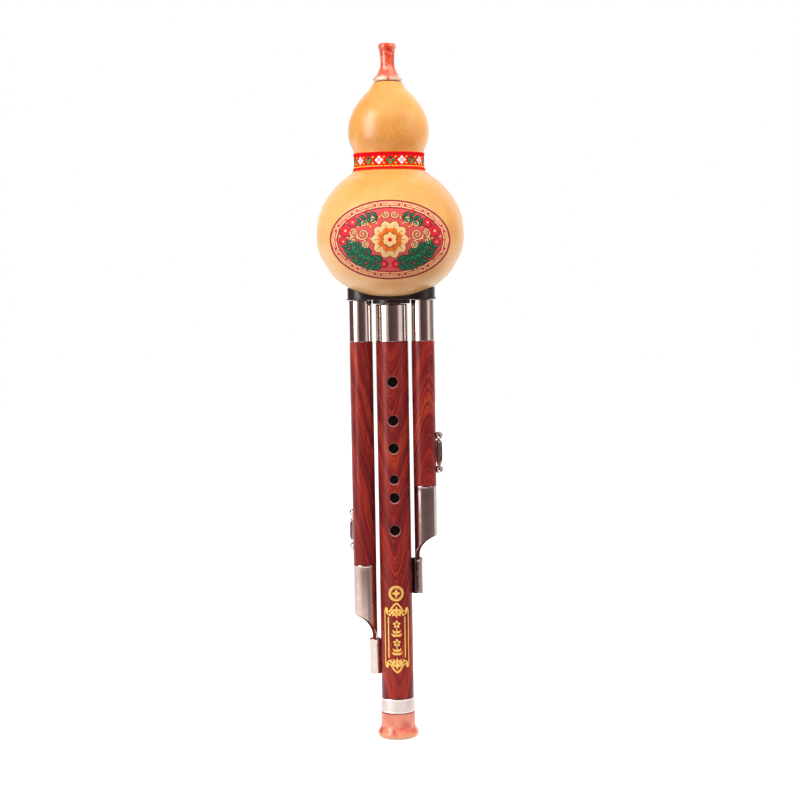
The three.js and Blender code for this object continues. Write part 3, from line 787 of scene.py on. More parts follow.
def thread_finish(name, tone, shade):
    """Woven or embroidered thread of one colour, with painted shade where the weave sinks."""
    material, tree, place = new_finish(name, specular_ior_level=0.06)
    threads = use_group(tree, weave, {"Place": place})
    # Painted shade: the thread turns darker where the weave sinks between the threads; the fuzz gives an
    # uneven tone.
    layers = ((shade, threads["Shade"], 0.0, 1.0, 0.6), (shade, threads["Height"], 0.45, 0.0, 0.45))
    base = layered(tree, colour(tone), layers)
    dulled = spread(tree, threads["Shade"], 0.0, 1.0, 0.65, 0.85)
    return finished(material, base, dulled, bump(tree, threads["Height"], 0.12))


def paint_finish(name, tone, shade, sheen=0.45, metallic=0.0):
    """Brushed-on paint with uneven cover."""
    material, tree, place = new_finish(name, metallic=metallic, specular_ior_level=0.3)
    strokes = speckle(tree, place, 1.3, 4.0, 0.65)
    base = layered(tree, colour(tone), ((shade, strokes, 0.4, 0.68, 0.7),))
    dulled = spread(tree, strokes, 0.3, 0.7, sheen, sheen + 0.15)
    return finished(material, base, dulled, bump(tree, strokes, 0.05))


# The gourd's outline as shares of the radius step and the height step, as in the solids
belly_shares = (
    (0.2, 0.012), (0.39, 0.052), (0.52, 0.118), (0.641, 0.201), (0.735, 0.285), (0.818, 0.386),
    (0.885, 0.509), (0.944, 0.631), (0.982, 0.754),
)
shoulder_shares = (
    (1, 0), (0.98, 0.125), (0.93, 0.26), (0.85, 0.37), (0.755, 0.463), (0.629, 0.564), (0.45, 0.677),
    (0.335, 0.734), (0.194, 0.79), (0.075, 0.843), (0.024, 0.876), (0.003, 0.93),
)
neck_shares = (
    (0, 0), (0.026, 0.155), (0.104, 0.29), (0.338, 0.42), (0.623, 0.549), (0.831, 0.679), (0.961, 0.839),
)
crown_shares = (
    (1, 0), (0.957, 0.207), (0.845, 0.37), (0.669, 0.537), (0.426, 0.703), (0.14, 0.867), (0, 1),
)
collar_drop = 2.5
base_below_gourd = 1.5
base_bottom = collar_low + collar_drop
gourd_bottom = base_bottom + base_below_gourd
lower_bulb_radius = high("gourd_shell").x
lower_bulb_height = gourd_bottom + 40.7
waist_radius = 21.4
waist_height = lower_bulb_height + 44.3
upper_bulb_radius = 25.25
upper_bulb_height = waist_height + 19.3
crown_radius = 8.8
crown_hole = 6.5
crown_top = high("gourd_shell").z
gourd_wall = 4.0
tenon_length = 9.0
rim_low = low("mouthpiece").z + tenon_length

# The skin's dents: none near the bottom, and they fade towards the waist and the crown
dent_depth = 0.35
dent_clear = 8
dent_fade = 14
dent_height = 30
dents_around = 1.3


def gourd_points():
    """Points of the gourd's outer outline, from the axis at the bottom to the crown."""
    steps = (
        (belly_shares, 0.0, lower_bulb_radius, gourd_bottom, lower_bulb_height),
        (shoulder_shares, waist_radius, lower_bulb_radius, lower_bulb_height, waist_height),
        (neck_shares, waist_radius, upper_bulb_radius, waist_height, upper_bulb_height),
        (crown_shares, crown_radius, upper_bulb_radius, upper_bulb_height, crown_top),
    )
    points = [(0.0, gourd_bottom)]
    for shares, small, large, start, end in steps:
        for radius_share, height_share in shares:
            points.append((small + (large - small) * radius_share, start + (end - start) * height_share))
    return points


gourd_line = smooth_line(gourd_points(), 5)
gourd_heights = [height for _, height in gourd_line]


def gourd_radius(height):
    """The gourd's plain radius at a height."""
    i = min(max(bisect_left(gourd_heights, height), 1), len(gourd_line) - 1)
    (r0, h0), (r1, h1) = gourd_line[i - 1], gourd_line[i]
    share = (height - h0) / (h1 - h0)
    return r0 + (r1 - r0) * share


def gourd_dent(x, y, height):
    """How far the real gourd's skin stands off its plain radius there."""
    fixed = (gourd_bottom + dent_clear, waist_height, crown_top)
    free = min(1.0, min(abs(height - f) for f in fixed) / dent_fade)
    if height < gourd_bottom + dent_clear:
        free = 0.0
    turn = Vector((x, y, 0)).normalized() * dents_around
    return dent_depth * free * noise.noise(Vector((turn.x, turn.y, height / dent_height)))


def gourd_shell():
    """The hollow double gourd, not quite round, with its opening for the base and its crown hole."""
    inner = [(r - gourd_wall, h) for r, h in gourd_line if r > crown_hole + gourd_wall]
    inner = [(0.0, gourd_bottom + gourd_wall)] + inner + [(crown_hole, inner[-1][1] + 1)]
    rim = [(crown_radius - 0.5, crown_top), (crown_hole, crown_top)]
    made = turned("gourd_shell", gourd_line[:-1] + rim + inner[::-1], fine_turns, 3.0)
    for vertex in made.data.vertices:
        x, y, z = vertex.co / MM
        radius = math.hypot(x, y)
        if radius > gourd_radius(z) - gourd_wall / 2 and radius > crown_hole + 1:
            grow = 1 + gourd_dent(x, y, z) / radius
            vertex.co.x *= grow
            vertex.co.y *= grow
    opening = stadium(plug_half_length + seat_gap, plug_half_width + seat_gap)
    combined(made, prism(opening, gourd_bottom - 2, high("pipe_base").z))
    dressed(made, "gourd_body", gourd_finish(), ["gourd_shell"], 40)


# Base that joins the pipes to the gourd
flange_reach = 0.6
base_half_length = high("pipe_base").x - flange_reach
base_half_width = high("pipe_base").y - flange_reach
drone_offset = 19.5
main_seat = 7.9
drone_seat = 5.7
plug_half_length = drone_offset + drone_seat + 1.3
plug_half_width = main_seat + 1.8
plug_top = base_bottom + 16.5
collar_radius = 11.8


def stadium(half_length, half_width):
    """An outline with straight sides and round ends, anticlockwise."""
    straight = half_length - half_width
    right = arc((straight, 0), half_width, -90, 90, end_steps)
    left = arc((-straight, 0), half_width, 90, 270, end_steps)
    return stepped(right + left, 2.0, closes=True)


def prism(outline, bottom, top):
    """A flat outline raised between two heights, as a cutter or a plain body."""
    count = len(outline)
    points = [(x, y, bottom) for x, y in outline] + [(x, y, top) for x, y in outline]
    faces = [list(range(count)), list(range(count, 2 * count))]
    faces += [[i, (i + 1) % count, count + (i + 1) % count, count + i] for i in range(count)]
    return mesh_object("prism", points, faces)


def block(left, right, front, back, bottom, top):
    """A plain block, as a cutter."""
    return prism([(left, front), (right, front), (right, back), (left, back)], bottom, top)


def loft(name, loops):
    """A closed body through loops of points of equal count, capped at both ends."""
    count = len(loops[0])
    points = [point for loop in loops for point in loop]
    faces = [list(range(count)), [(len(loops) - 1) * count + i for i in range(count)]]
    for k in range(len(loops) - 1):
        for i in range(count):
            j = (i + 1) % count
            faces.append([k * count + i, k * count + j, (k + 1) * count + j, (k + 1) * count + i])
    return mesh_object(name, points, faces)


def pipe_base():
    """The black base: a flange, a saddle whose top follows the gourd, a plug and a round collar."""
    rim, ease = flange_reach, 0.35
    flange = (
        (rim - ease, 0.0), (rim - 0.1, 0.1), (rim, ease), (rim, 1.0 - ease), (rim - 0.12, 0.92),
        (0.25, 1.0), (0.05, 1.1), (0.0, 1.35),
    )
    saddle = ((0.0, 0.9), (-0.08, 0.62), (-0.3, 0.42), (-0.7, 0.32), (-2.0, 0.3), (-4.0, 0.3))

    def around(grow):
        return stadium(base_half_length + grow, base_half_width + grow)

    loops = [[(x, y, base_bottom + rise) for x, y in around(grow)] for grow, rise in flange]
    for grow, under in saddle:
        loops.append([(x, y, gourd_height(math.hypot(x, y)) - under) for x, y in around(grow)])
    made = loft("pipe_base", loops)
    combined(made, prism(stadium(plug_half_length, plug_half_width), base_bottom + 0.5, plug_top), "UNION")
    joined = base_bottom + 0.6
    collar = [(0, joined), (0, collar_low), (collar_radius, collar_low), (collar_radius, joined)]
    combined(made, turned("collar", eased(collar, 0.45), small_turns * 2, long_step), "UNION")
    combined(made, rod("main_bore", main_seat, collar_low - 2, plug_top + 2, small_turns))
    for side in (-1, 1):
        hole = rod("drone_bore", drone_seat, base_bottom - 2, plug_top + 2, small_turns)
        combined(made, placed(hole, shift(side * drone_offset)))
    dressed(made, "gourd_body", black_finish(), ["pipe_base"], 30)


def gourd_height(radius):
    """The height of the gourd's underside at a distance from the axis."""
    for (r0, h0), (r1, h1) in zip(gourd_line, gourd_line[1:]):
        if r0 <= radius <= r1:
            return h0 + (h1 - h0) * (radius - r0) / (r1 - r0)
    return lower_bulb_height


# Mouthpiece radii, and its outline as shares of a radius and of the height
mouthpiece_rim = 9.4
mouthpiece_neck = 4.45
mouthpiece_head = 5.7
mouthpiece_bore = 3.1
mouthpiece_tenon = 4.7
rim_shares = (
    (0.947, 0.0), (0.99, 0.025), (1, 0.05), (0.965, 0.085), (0.83, 0.14), (0.66, 0.234), (0.532, 0.34),
)
neck_heights = (0.45, 0.53, 0.6)
head_shares = (
    (0.8, 0.7), (0.87, 0.80), (0.965, 0.868), (1, 0.906), (0.985, 0.94), (0.93, 0.975), (0.84, 0.996),
)


def mouthpiece():
    """The turned stone mouthpiece with its tenon and bore."""
    bottom, top = low("mouthpiece").z, high("mouthpiece").z
    height = top - rim_low
    line = [(mouthpiece_rim * r, rim_low + height * h) for r, h in rim_shares]
    line += [(mouthpiece_neck, rim_low + height * h) for h in neck_heights]
    line += [(mouthpiece_head * r, rim_low + height * h) for r, h in head_shares]
    outer = smooth_line(line, 5)
    lip = smooth_line([outer[-1], (mouthpiece_bore + 0.7, top), (mouthpiece_bore, top - 0.8)], 4)[1:]
    inner = [(mouthpiece_bore, bottom), (mouthpiece_tenon, bottom), (mouthpiece_tenon, rim_low)]
    made = turned("mouthpiece", outer + lip + inner, fine_turns, 2.0)
    dressed(made, "gourd_body", agate_finish(), ["mouthpiece"])


def bell_foot():
    """The turned coral bell: a rounded lip, a flare and a tenon in the pipe."""
    lip, face, neck = high("bell_foot").x, 11.0, ring_radius + 0.12
    mouth, depth, tenon = 7.4, 5.0, main_bore + 1.4
    shoulder = low("main_bottom_ring").z - tight_gap
    points = [
        (face - 0.6, 0.0), (face + 0.5, 0.18), (lip - 0.55, 0.85), (lip - 0.08, 1.9), (lip - 0.03, 2.9),
        (lip - 0.45, 4.1), (lip - 1.15, 5.2), (neck + 0.42, 6.5), (neck + 0.12, 7.6), (neck + 0.03, 9.0),
        (neck, 11.0),
    ]
    outer = smooth_line(points, 6) + [(neck, shoulder - 0.25), (neck - 0.25, shoulder)]
    tenon_top = high("bell_foot").z
    inner = [(tenon, shoulder), (tenon, tenon_top), (main_bore, tenon_top), (main_bore, depth)]
    entry = smooth_line([(mouth - 0.4, 2.4), (mouth, 1.0), (mouth + 0.6, 0.0)], 4)
    made = turned("bell_foot", outer + inner + entry, fine_turns, 2.0)
    dressed(made, "main_pipe_body", coral_finish(), ["bell_foot"])


def bottom_ring():
    """The satin ring over the pipe's foot, with a rolled edge at top and bottom."""
    bottom, top = low("main_bottom_ring").z, high("main_bottom_ring").z
    roll = [(-0.35, 0.0), (-0.1, 0.08), (0.0, 0.35), (-0.01, 0.65), (-0.03, 0.95), (-0.04, 1.2)]
    lower = smooth_line([(ring_radius + r, bottom + h) for r, h in roll], 3)
    upper = smooth_line([(ring_radius + r, top - h) for r, h in roll[::-1]], 3)
    outline = [(ring_inner, bottom)] + lower + upper + [(ring_inner, top)]
    made = turned("main_bottom_ring", outline, fine_turns, 2.0)
    dressed(made, "main_pipe_body", ring_satin, ["main_bottom_ring"], 50)


def hole_cutter(radius, share, turn):
    """A drill with a flare that eases the hole's rim, pointing out of the main pipe."""
    ease, above = 0.42, 0.7
    deep = math.sqrt(main_radius**2 - radius**2)
    outline = [
        (0, 1), (radius, 1), (radius, deep - ease), (radius + ease * 0.5, deep - ease * 0.25),
        (radius + ease * 2, main_radius + above), (0, main_radius + above),
    ]
    drill = turned("drill", outline, 48, whole_step)
    drill.data.materials.append(bored)
    drill.data.materials.append(highlit_rim)
    # The flare's faces take the second finish, the rim painted pale as a highlight.
    for face in drill.data.polygons:
        if face.center.z / MM > deep - ease:
            face.material_index = 1
    return placed(drill, spin(90, "X"), spin(turn), shift(z=wood_low + main_length * share))


def main_pipe():
    """The fingered pipe: six holes in front, the thumb hole and two vents behind."""
    spigot = ring_inner - seat_gap
    head = ferrule_radius - ferrule_wall - seat_gap
    bottom = low("main_pipe").z
    tenon_seat = main_bore + 1.7
    tenon_top = high("bell_foot").z + seat_gap
    ease = 0.25
    outline = [
        (tenon_seat, bottom), (spigot, bottom), (spigot, wood_low + tight_gap),
        (main_radius - ease, wood_low + tight_gap), (main_radius, wood_low + tight_gap + ease),
        (main_radius, wood_high - tight_gap - ease), (main_radius - ease, wood_high - tight_gap),
        (head, wood_high - tight_gap), (head, main_top), (main_bore, main_top), (main_bore, tenon_top),
        (tenon_seat, tenon_top),
    ]
    made = turned("main_pipe", outline, fine_turns, 4.0)
    made.data.materials.append(rosewood["main"])
    made.data.materials.append(bored)
    for face in made.data.polygons:
        if math.hypot(face.center.x, face.center.y) / MM < main_bore + 0.1:
            face.material_index = 1
    drills = []
    for i, share in enumerate(finger_shares):
        radius = small_finger_radius if i == small_finger else finger_radius
        drills.append(hole_cutter(radius, share, front_turn))
    drills.append(hole_cutter(finger_radius, thumb_share, 180))
    drills += [hole_cutter(vent_radius, share, 180) for share in vent_shares]
    for side, socket in ((-1, "left_foot_socket"), (1, "right_foot_socket")):
        centre = (low(socket) + high(socket)) / 2
        bed = rod("bed", socket_radius + seat_gap, low(socket).z - 0.1, high(socket).z + 0.1, 48)
        drills.append(placed(bed, shift(centre.x)))
        pilot = rod("pilot", screw_hole_radius, 7, 11, 24)
        drills.append(placed(pilot, spin(90 * side, "Y"), shift(z=centre.z)))
    combined(made, gathered("drills", drills))
    dressed(made, "main_pipe_body", rosewood["main"], ["main_pipe"])


def top_ferrule(name, body, centre, radius, top, hole, edge):
    """A polished ferrule, closed over the pipe's end but for the reed tube, with a rolled lower edge."""
    inner = radius - ferrule_wall
    bottom = low("main_top_ferrule").z
    roll = 0.07
    outline = [
        (inner, bottom), (radius + roll, bottom), (radius + roll, bottom + 0.7), (radius, bottom + 1.05),
        (radius, top - edge), (radius - edge, top), (hole, top), (hole, top - ferrule_wall),
        (inner, top - ferrule_wall),
    ]
    made = placed(turned(name, eased(outline, 0.22), fine_turns, 4.0), shift(centre))
    dressed(made, body, nickel, [name], 50)


# Drones


class Drone:
    """One drone's sizes, read from its nodes, and its own frame with +X outwards."""

    def __init__(self, name, side, key_turn):
        self.name = name
        self.side = side
        self.turn = 0 if side > 0 else 180
        self.body = name + "_drone_body"
        self.key_body = name + "_key_body"
        self.key_turn = key_turn
        self.sleeve_top = high(name + "_lower_sleeve").z
        self.scoop_start = self.sleeve_top - scoop_length
        self.tongue_bottom = low(name + "_lower_sleeve").z
        self.socket_top = high(name + "_foot_socket").z
        self.key_height = middle(name + "_key_lever", "z")
        self.centre = side * drone_offset

    def out(self, made):
        """Turns a piece made with +X outwards to its side, at the drone's axis."""
        return placed(made, spin(self.turn), shift(self.centre))

    def at_key(self, made):
        """Turns a piece made with its hinge on +X to the key's place."""
        turn = self.key_turn if self.side > 0 else 180 - self.key_turn
        return placed(made, spin(turn), shift(self.centre, z=self.key_height))


# Sizes of the drones, their scoops, their screws and their keys, as in the solids
scoop_length = 31.6
scoop_drop = 12.8
scoop_steps = 32
scoop_margin = 1.5
wood_setback = 0.4
drones = (Drone("left", -1, 38.0), Drone("right", 1, 2.0))
drone_radius = 7.3
drone_ferrule = drone_radius - 0.1
wood_reach = 4.1
metal_reach = 5.8
tongue_half_width = 2.0
tune_travel = 3.0
driver_hole_radius = 1.6
screw_hole_radius = 1.1
key_tube_radius = 1.5
key_tube_bore = 0.95
hinge_radius = drone_radius + key_tube_radius + seat_gap
key_post_radius = 2.6
key_post_spacing = 21.5
key_stem_radius = 1.1
key_eye_radius = 0.8
key_rod_radius = 0.65
plate_inner = hinge_radius + key_tube_radius - 0.35
plate_thickness = 1.1
plate_crown = 0.18
plate_length = 14.0
plate_start, plate_end = -8.0, 76.0
pad_angle = 43.0
pad_radius = 3.7


def along_depth(outline, half_depth):
    """An outline of X and Z run along Y, as a cutter."""
    made = prism(outline, -half_depth, half_depth)
    return placed(made, spin(90, "X"))


def scooped(made, drone, start, reach):
    """Cuts the open scoop and the narrow tongue of a drone's lower end, before it is turned outwards."""
    edge = drone_radius + scoop_margin
    bottom = drone.tongue_bottom - overrun
    curve = []
    for k in range(scoop_steps + 1):
        angle = math.radians(90 * k / scoop_steps)
        fall = scoop_drop * (1 - math.cos(angle))
        curve.append((edge - (edge + reach) * math.sin(angle), start - fall))
    combined(made, along_depth(curve + [(-reach, bottom), (edge, bottom)], edge))
    taper_low = drone.socket_top + tune_travel + seat_gap
    half = tongue_half_width
    waste = [(half, bottom), (edge, bottom), (edge, taper_low + 8.0), (half, taper_low)]
    for face in (-1, 1):
        combined(made, placed(along_depth(waste, edge), spin(90 * face)))
    return made


def drone_pipe(drone):
    """The rosewood drone with its scooped end, key seats and tone hole."""
    head = drone_ferrule - ferrule_wall - seat_gap
    foot = drone_radius - sleeve_wall - tight_gap
    shoulder = drone.sleeve_top + tight_gap
    top = high(drone.name + "_drone_pipe").z
    ease = 0.25
    outline = [
        (drone_bore, drone.tongue_bottom), (foot, drone.tongue_bottom), (foot, shoulder),
        (drone_radius - ease, shoulder), (drone_radius, shoulder + ease),
        (drone_radius, wood_high - tight_gap - ease), (drone_radius - ease, wood_high - tight_gap),
        (head, wood_high - tight_gap), (head, top), (drone_bore, top),
    ]
    made = turned(drone.name + "_drone_pipe", outline, fine_turns, 4.0)
    drone.out(scooped(made, drone, drone.scoop_start - wood_setback, wood_reach))
    cutters = []
    for height in (-key_post_spacing / 2, key_post_spacing / 2):
        seat = ball("seat", key_post_radius + seat_gap, 16, 32)
        cutters.append(placed(seat, shift(hinge_radius, z=height)))
        stem = rod("stem_hole", key_stem_radius + seat_gap, 5.0, hinge_radius - 2.7, 24)
        cutters.append(placed(stem, spin(90, "Y"), shift(z=height)))
    outline = [(0, 1), (2.7, 1), (2.7, 6.9), (3.1, 7.4), (3.6, 8.4), (0, 8.4)]
    tone = turned("tone", outline, 40, whole_step)
    cutters.append(placed(tone, spin(90, "Y"), spin(drone.side * pad_angle)))
    for cutter in cutters:
        combined(made, drone.at_key(cutter))
    dressed(made, drone.body, rosewood[drone.name], [drone.name + "_drone_pipe"])


def lower_sleeve(drone):
    """The satin sleeve, rolled at its top and cut with the scoop."""
    inner = drone_radius - sleeve_wall
    top = drone.sleeve_top
    outline = [
        (inner, drone.tongue_bottom), (drone_radius, drone.tongue_bottom), (drone_radius, top - 1.2),
        (drone_radius + 0.12, top - 0.85), (drone_radius + 0.14, top - 0.4), (drone_radius, top),
        (inner, top),
    ]
    made = turned(drone.name + "_lower_sleeve", eased(outline, 0.18), fine_turns, 3.0)
    drone.out(scooped(made, drone, drone.scoop_start, metal_reach))
    metal = satin if drone.side < 0 else grey_satin
    dressed(made, drone.body, metal, [drone.name + "_lower_sleeve"])


def foot_socket(drone):
    """The small tube on the main pipe that takes the drone's tongue."""
    name = drone.name + "_foot_socket"
    bottom, top = low(name).z, high(name).z
    inner = socket_radius - sleeve_wall
    outline = [
        (inner, bottom), (socket_radius, bottom), (socket_radius, top - 1.6),
        (socket_radius + 0.12, top - 1.3), (socket_radius + 0.14, top - 0.3), (socket_radius - 0.1, top),
        (inner + 0.15, top),
    ]
    made = turned(name, eased(outline, 0.15), small_turns, 2.0)
    holes = (("driver_hole", driver_hole_radius, 90), ("screw_hole", screw_hole_radius, -90))
    for hole, radius, turn in holes:
        combined(made, placed(rod(hole, radius, 0, 5, 32), spin(turn, "Y"), shift(z=middle(name, "z"))))
    placed(made, spin(drone.turn), shift(middle(name, "x")))
    # The right socket takes the nickel with a painted dark reflection down its left part.
    metal = socket_nickel if drone.side < 0 else shade_painted_nickel
    dressed(made, "main_pipe_body", metal, [name])


def foot_screw(drone):
    """The flat screw in the socket, with its driver slot."""
    name = drone.name + "_foot_screw"
    near, far = sorted((abs(low(name).x), abs(high(name).x)))
    head, shank = 1.6, 0.8
    outline = [(0, near), (shank, near), (shank, far - 1), (head, far - 1), (head, far), (0, far)]
    made = turned(name, eased(outline, 0.15), 40, 2.0)
    combined(made, block(-2, 2, -0.2, 0.2, far - 0.5, far + 1))
    placed(made, spin(90 * drone.side, "Y"), shift(z=middle(name, "z")))
    dressed(made, "main_pipe_body", nickel, [name])


def key_posts(drone):
    """Two ball posts with a turned line round each, and their stems in the wood."""
    r = key_post_radius
    band = [(r - 0.5, -0.35), (r + 0.02, -0.35), (r + 0.1, 0), (r + 0.02, 0.35), (r - 0.5, 0.35)]
    for end, height in (("bottom", -key_post_spacing / 2), ("top", key_post_spacing / 2)):
        post = placed(ball("post", r, 28, small_turns), spin(90, "Y"))
        combined(post, placed(turned("band", band, small_turns, whole_step), spin(90, "Y")), "UNION")
        placed(post, shift(hinge_radius))
        combined(post, placed(rod("stem", key_stem_radius, 5.3, hinge_radius, 32), spin(90, "Y")), "UNION")
        combined(post, placed(rod("eye", key_eye_radius, -4, 4, 32), shift(hinge_radius)))
        drone.at_key(placed(post, shift(z=height)))
        dressed(post, drone.body, nickel, [drone.name + "_key_post_" + end])


def key_rod(drone):
    """The hinge rod with a slotted head at its upper end and a domed lower end."""
    name = drone.name + "_key_rod"
    half = (high(name).z - low(name).z) / 2
    r = key_rod_radius
    outline = [
        (0, -half), (r * 0.6, -half), (r, -half + 0.3), (r, half - 0.2), (r - 0.15, half), (0, half),
    ]
    made = turned(name, outline, 32, 4.0)
    combined(made, block(-1, 1, -0.13, 0.13, half - 0.35, half + 1))
    placed(made, shift(hinge_radius))
    dressed(drone.at_key(made), drone.body, nickel, [name])


def key_lever(drone):
    """The hinge tube and its curved cover, which has rounded corners and a crowned face."""
    name = drone.name + "_key_lever"
    half_tube = key_post_spacing / 2 - key_post_radius - seat_gap
    bore, eased_back = key_tube_bore, key_tube_radius - 0.12
    tube = [
        (bore, -half_tube), (key_tube_radius, -half_tube), (key_tube_radius, -half_tube + 1.0),
        (eased_back, -half_tube + 1.3), (eased_back, half_tube - 1.3), (key_tube_radius, half_tube - 1.0),
        (key_tube_radius, half_tube), (bore, half_tube),
    ]
    barrel = placed(turned("barrel", eased(tube, 0.15), small_turns, 2.0), shift(hinge_radius))
    free_corner, hinge_corner, rows, columns = 4.0, 1.5, 64, 20
    top, bottom = [], []
    for i in range(rows + 1):
        share = i / rows
        angle = math.radians(plate_start + (plate_end - plate_start) * share) * drone.side
        from_end = min(share, 1 - share) * math.radians(plate_end - plate_start) * plate_inner
        corner = free_corner if share > 0.5 else hinge_corner
        cut = max(0.0, corner - from_end)
        half = plate_length / 2 - corner + math.sqrt(max(corner**2 - cut**2, 0.05))
        outer_row, inner_row = [], []
        for j in range(columns + 1):
            across = 2 * j / columns - 1
            outer = plate_inner + plate_thickness - plate_crown * across**2
            for row, radius in ((outer_row, outer), (inner_row, plate_inner)):
                row.append((radius * math.cos(angle), radius * math.sin(angle), half * across))
        top.append(outer_row)
        bottom.append(inner_row)
    made = combined(barrel, bevelled(slab("flap", top, bottom), 0.22), "UNION")
    made.name = name
    combined(made, placed(rod("bore", bore, -half_tube - 1, half_tube + 1, 40), shift(hinge_radius)))
    dressed(drone.at_key(made), drone.key_body, nickel, [name])


def key_pad(drone):
    """A round leather pad under the cover, hollowed to the drone."""
    name = drone.name + "_key_pad"
    inner, outer = drone_radius + seat_gap, plate_inner - 0.1
    made = turned(name, [(inner, -5), (outer, -5), (outer, 5), (inner, 5)], fine_turns, whole_step)
    plug = placed(rod("plug", pad_radius, 3, 12, 48), spin(90, "Y"), spin(drone.side * pad_angle))
    combined(made, plug, "INTERSECT")
    bevelled(made, 0.3)
    dressed(drone.at_key(made), drone.key_body, leather, [name])


def cork_ring(name, body, inner, centre=0.0):
    """A ring of cork round a tube or a tenon."""
    outer, bottom, top = high(name).x - centre, low(name).z, high(name).z
    ring = [(inner, bottom), (outer, bottom), (outer, top), (inner, top)]
    made = placed(turned(name, eased(ring, 0.3), small_turns, 3.0), shift(centre))
    dressed(made, body, cork, [name])


def reed_tube(side, body, centre):
    """A closed brass tube with a flat for its reed plate, and the cork seal round it."""
    tube, plate = side + "_reed_tube", side + "_reed_plate"
    bottom, top = low(tube).z, high(tube).z
    radius = high(tube).x - centre
    inner = radius - tube_wall
    flat = inner - 0.25
    outline = [
        (0, top - 3), (inner, top - 3), (inner, bottom), (radius, bottom), (radius, top - 0.5),
        (radius - 0.5, top), (0, top),
    ]
    made = turned(tube, eased(outline, 0.12), small_turns, 4.0)
    combined(
        made,
        block(-radius - 1, radius + 1, -radius - 2, -flat, low(plate).z - 0.3, high(plate).z + 0.3),
    )
    dressed(placed(made, shift(centre)), body, brass, [tube])
    cork_ring(side + "_joint_seal", body, radius + tight_gap, centre)


def inner_pieces():
    """Reed tubes, seals and the mouthpiece's cork, which show when the flute is taken apart."""
    reed_tube("main", "main_pipe_body", 0.0)
    for drone in drones:
        reed_tube(drone.name, drone.body, drone.centre)
    cork_ring("mouthpiece_cork", "gourd_body", mouthpiece_tenon + tight_gap)


# Shapes laid thinly on a curved surface


class Inlay:
    """Thin raised shapes of one colour, drawn flat in millimetres and laid on a surface."""

    def __init__(self, surface, lift, depth=0.12):
        self.surface = surface
        self.lift = lift
        self.depth = depth
        self.points = []
        self.faces = []

    def lay(self, grid):
        """Lays a grid of (across, up, rise) as one thin closed body."""
        top = [[self.surface(u, v, self.lift + rise) for u, v, rise in row] for row in grid]
        bottom = [[self.surface(u, v, -self.depth) for u, v, _ in row] for row in grid]
        add_slab(self.points, self.faces, top, bottom)

    def blade(self, spine, width_at, columns, crown=0.0, step=0.9):
        """A stroke along a line, with a full width that may change from its start to its end."""
        line = stepped([tuple(p) for p in spine], step)
        count = len(line)
        grid = []
        for i, here in enumerate(line):
            here = Vector(here)
            back = (here - Vector(line[i - 1])).normalized() if i else None
            ahead = (Vector(line[i + 1]) - here).normalized() if i < count - 1 else None
            back, ahead = back or ahead, ahead or back
            along = (back + ahead).normalized()
            mitre = max(0.5, along.dot(ahead))
            side = Vector((-along.y, along.x)) / mitre
            width = width_at(i / (count - 1)) if callable(width_at) else width_at
            row = []
            for j in range(columns + 1):
                across = 2 * j / columns - 1
                point = here + side * width / 2 * across
                row.append((point.x, point.y, crown * (1 - across**2)))
            grid.append(row)
        self.lay(grid)

    def patch(self, place_at, cells, crown):
        """A square of cells bent into a shape, from a function of two shares between -1 and 1."""
        shares = [2 * i / cells - 1 for i in range(cells + 1)]
        self.lay([[(*place_at(a, b), crown * (1 - a * a) * (1 - b * b)) for b in shares] for a in shares])

    def disc(self, centre, across, up=None, crown=0.0, cells=6, turn=0.0):
        """A filled circle or ellipse."""
        up = across if up is None else up
        cos, sin = math.cos(math.radians(turn)), math.sin(math.radians(turn))

        def place_at(a, b):
            x = across * a * math.sqrt(1 - b * b / 2)
            y = up * b * math.sqrt(1 - a * a / 2)
            return (centre[0] + x * cos - y * sin, centre[1] + x * sin + y * cos)

        self.patch(place_at, cells, crown)

    def lozenge(self, centre, across, up, crown=0.0):
        """A filled diamond, from its half-width and half-height."""

        def place_at(a, b):
            return (centre[0] + across * (a - b) / 2, centre[1] + up * (a + b) / 2)

        self.patch(place_at, 4, crown)

    def made(self, name, body, slot, finish):
        piece = mesh_object(name, self.points, self.faces)
        return dressed(piece, body, finish)


def petal_width(width, tip=0.62):
    """A leaf's width along its length: narrow foot, broad middle, pointed end."""
    return lambda t: max(0.1, width * math.sin(math.pi * t**tip) ** 0.9)


def round_width(width):
    """A petal's width along its length: narrow foot, and broad up to a round end."""
    return lambda t: max(0.1, width * math.sin(math.pi * t**1.3) ** 0.55)


def towards(angle):
    return Vector((math.cos(angle), math.sin(angle)))


# The painted medallion on the lower bulb, an ellipse seen from the front
medallion_across = 37.0
medallion_up = 24.0
medallion_height = 315.9
medallion_tilt = -1.0
fret_pairs = 12
fret_outer = 1.0
fret_inner = 4.3
field_edge = 5.0


def on_medallion(u, v, lift):
    """A flat place of the medallion's drawing, on the gourd's front."""
    tilt = math.radians(medallion_tilt)
    x = u * math.cos(tilt) - v * math.sin(tilt)
    height = medallion_height + u * math.sin(tilt) + v * math.cos(tilt)
    radius = gourd_radius(height)
    y = -math.sqrt(max(radius**2 - x**2, 1.0))
    slope = gourd_radius(height + 0.5) - gourd_radius(height - 0.5)
    normal = Vector((x / radius, y / radius, -slope)).normalized()
    turn = Matrix.Rotation(math.radians(front_turn), 3, "Z")
    skin = turn @ Vector((x, y, height))
    stand = gourd_dent(skin.x, skin.y, height) + lift
    return tuple(skin + (turn @ normal) * stand)


def on_ellipse(inset, angle):
    """A place on an ellipse that lies some way inside the medallion's edge."""
    x = (medallion_across - inset) * math.cos(math.radians(angle))
    return (x, (medallion_up - inset) * math.sin(math.radians(angle)))


def ellipse_line(inset, steps=180):
    return [on_ellipse(inset, 360 * k / steps) for k in range(steps + 1)]


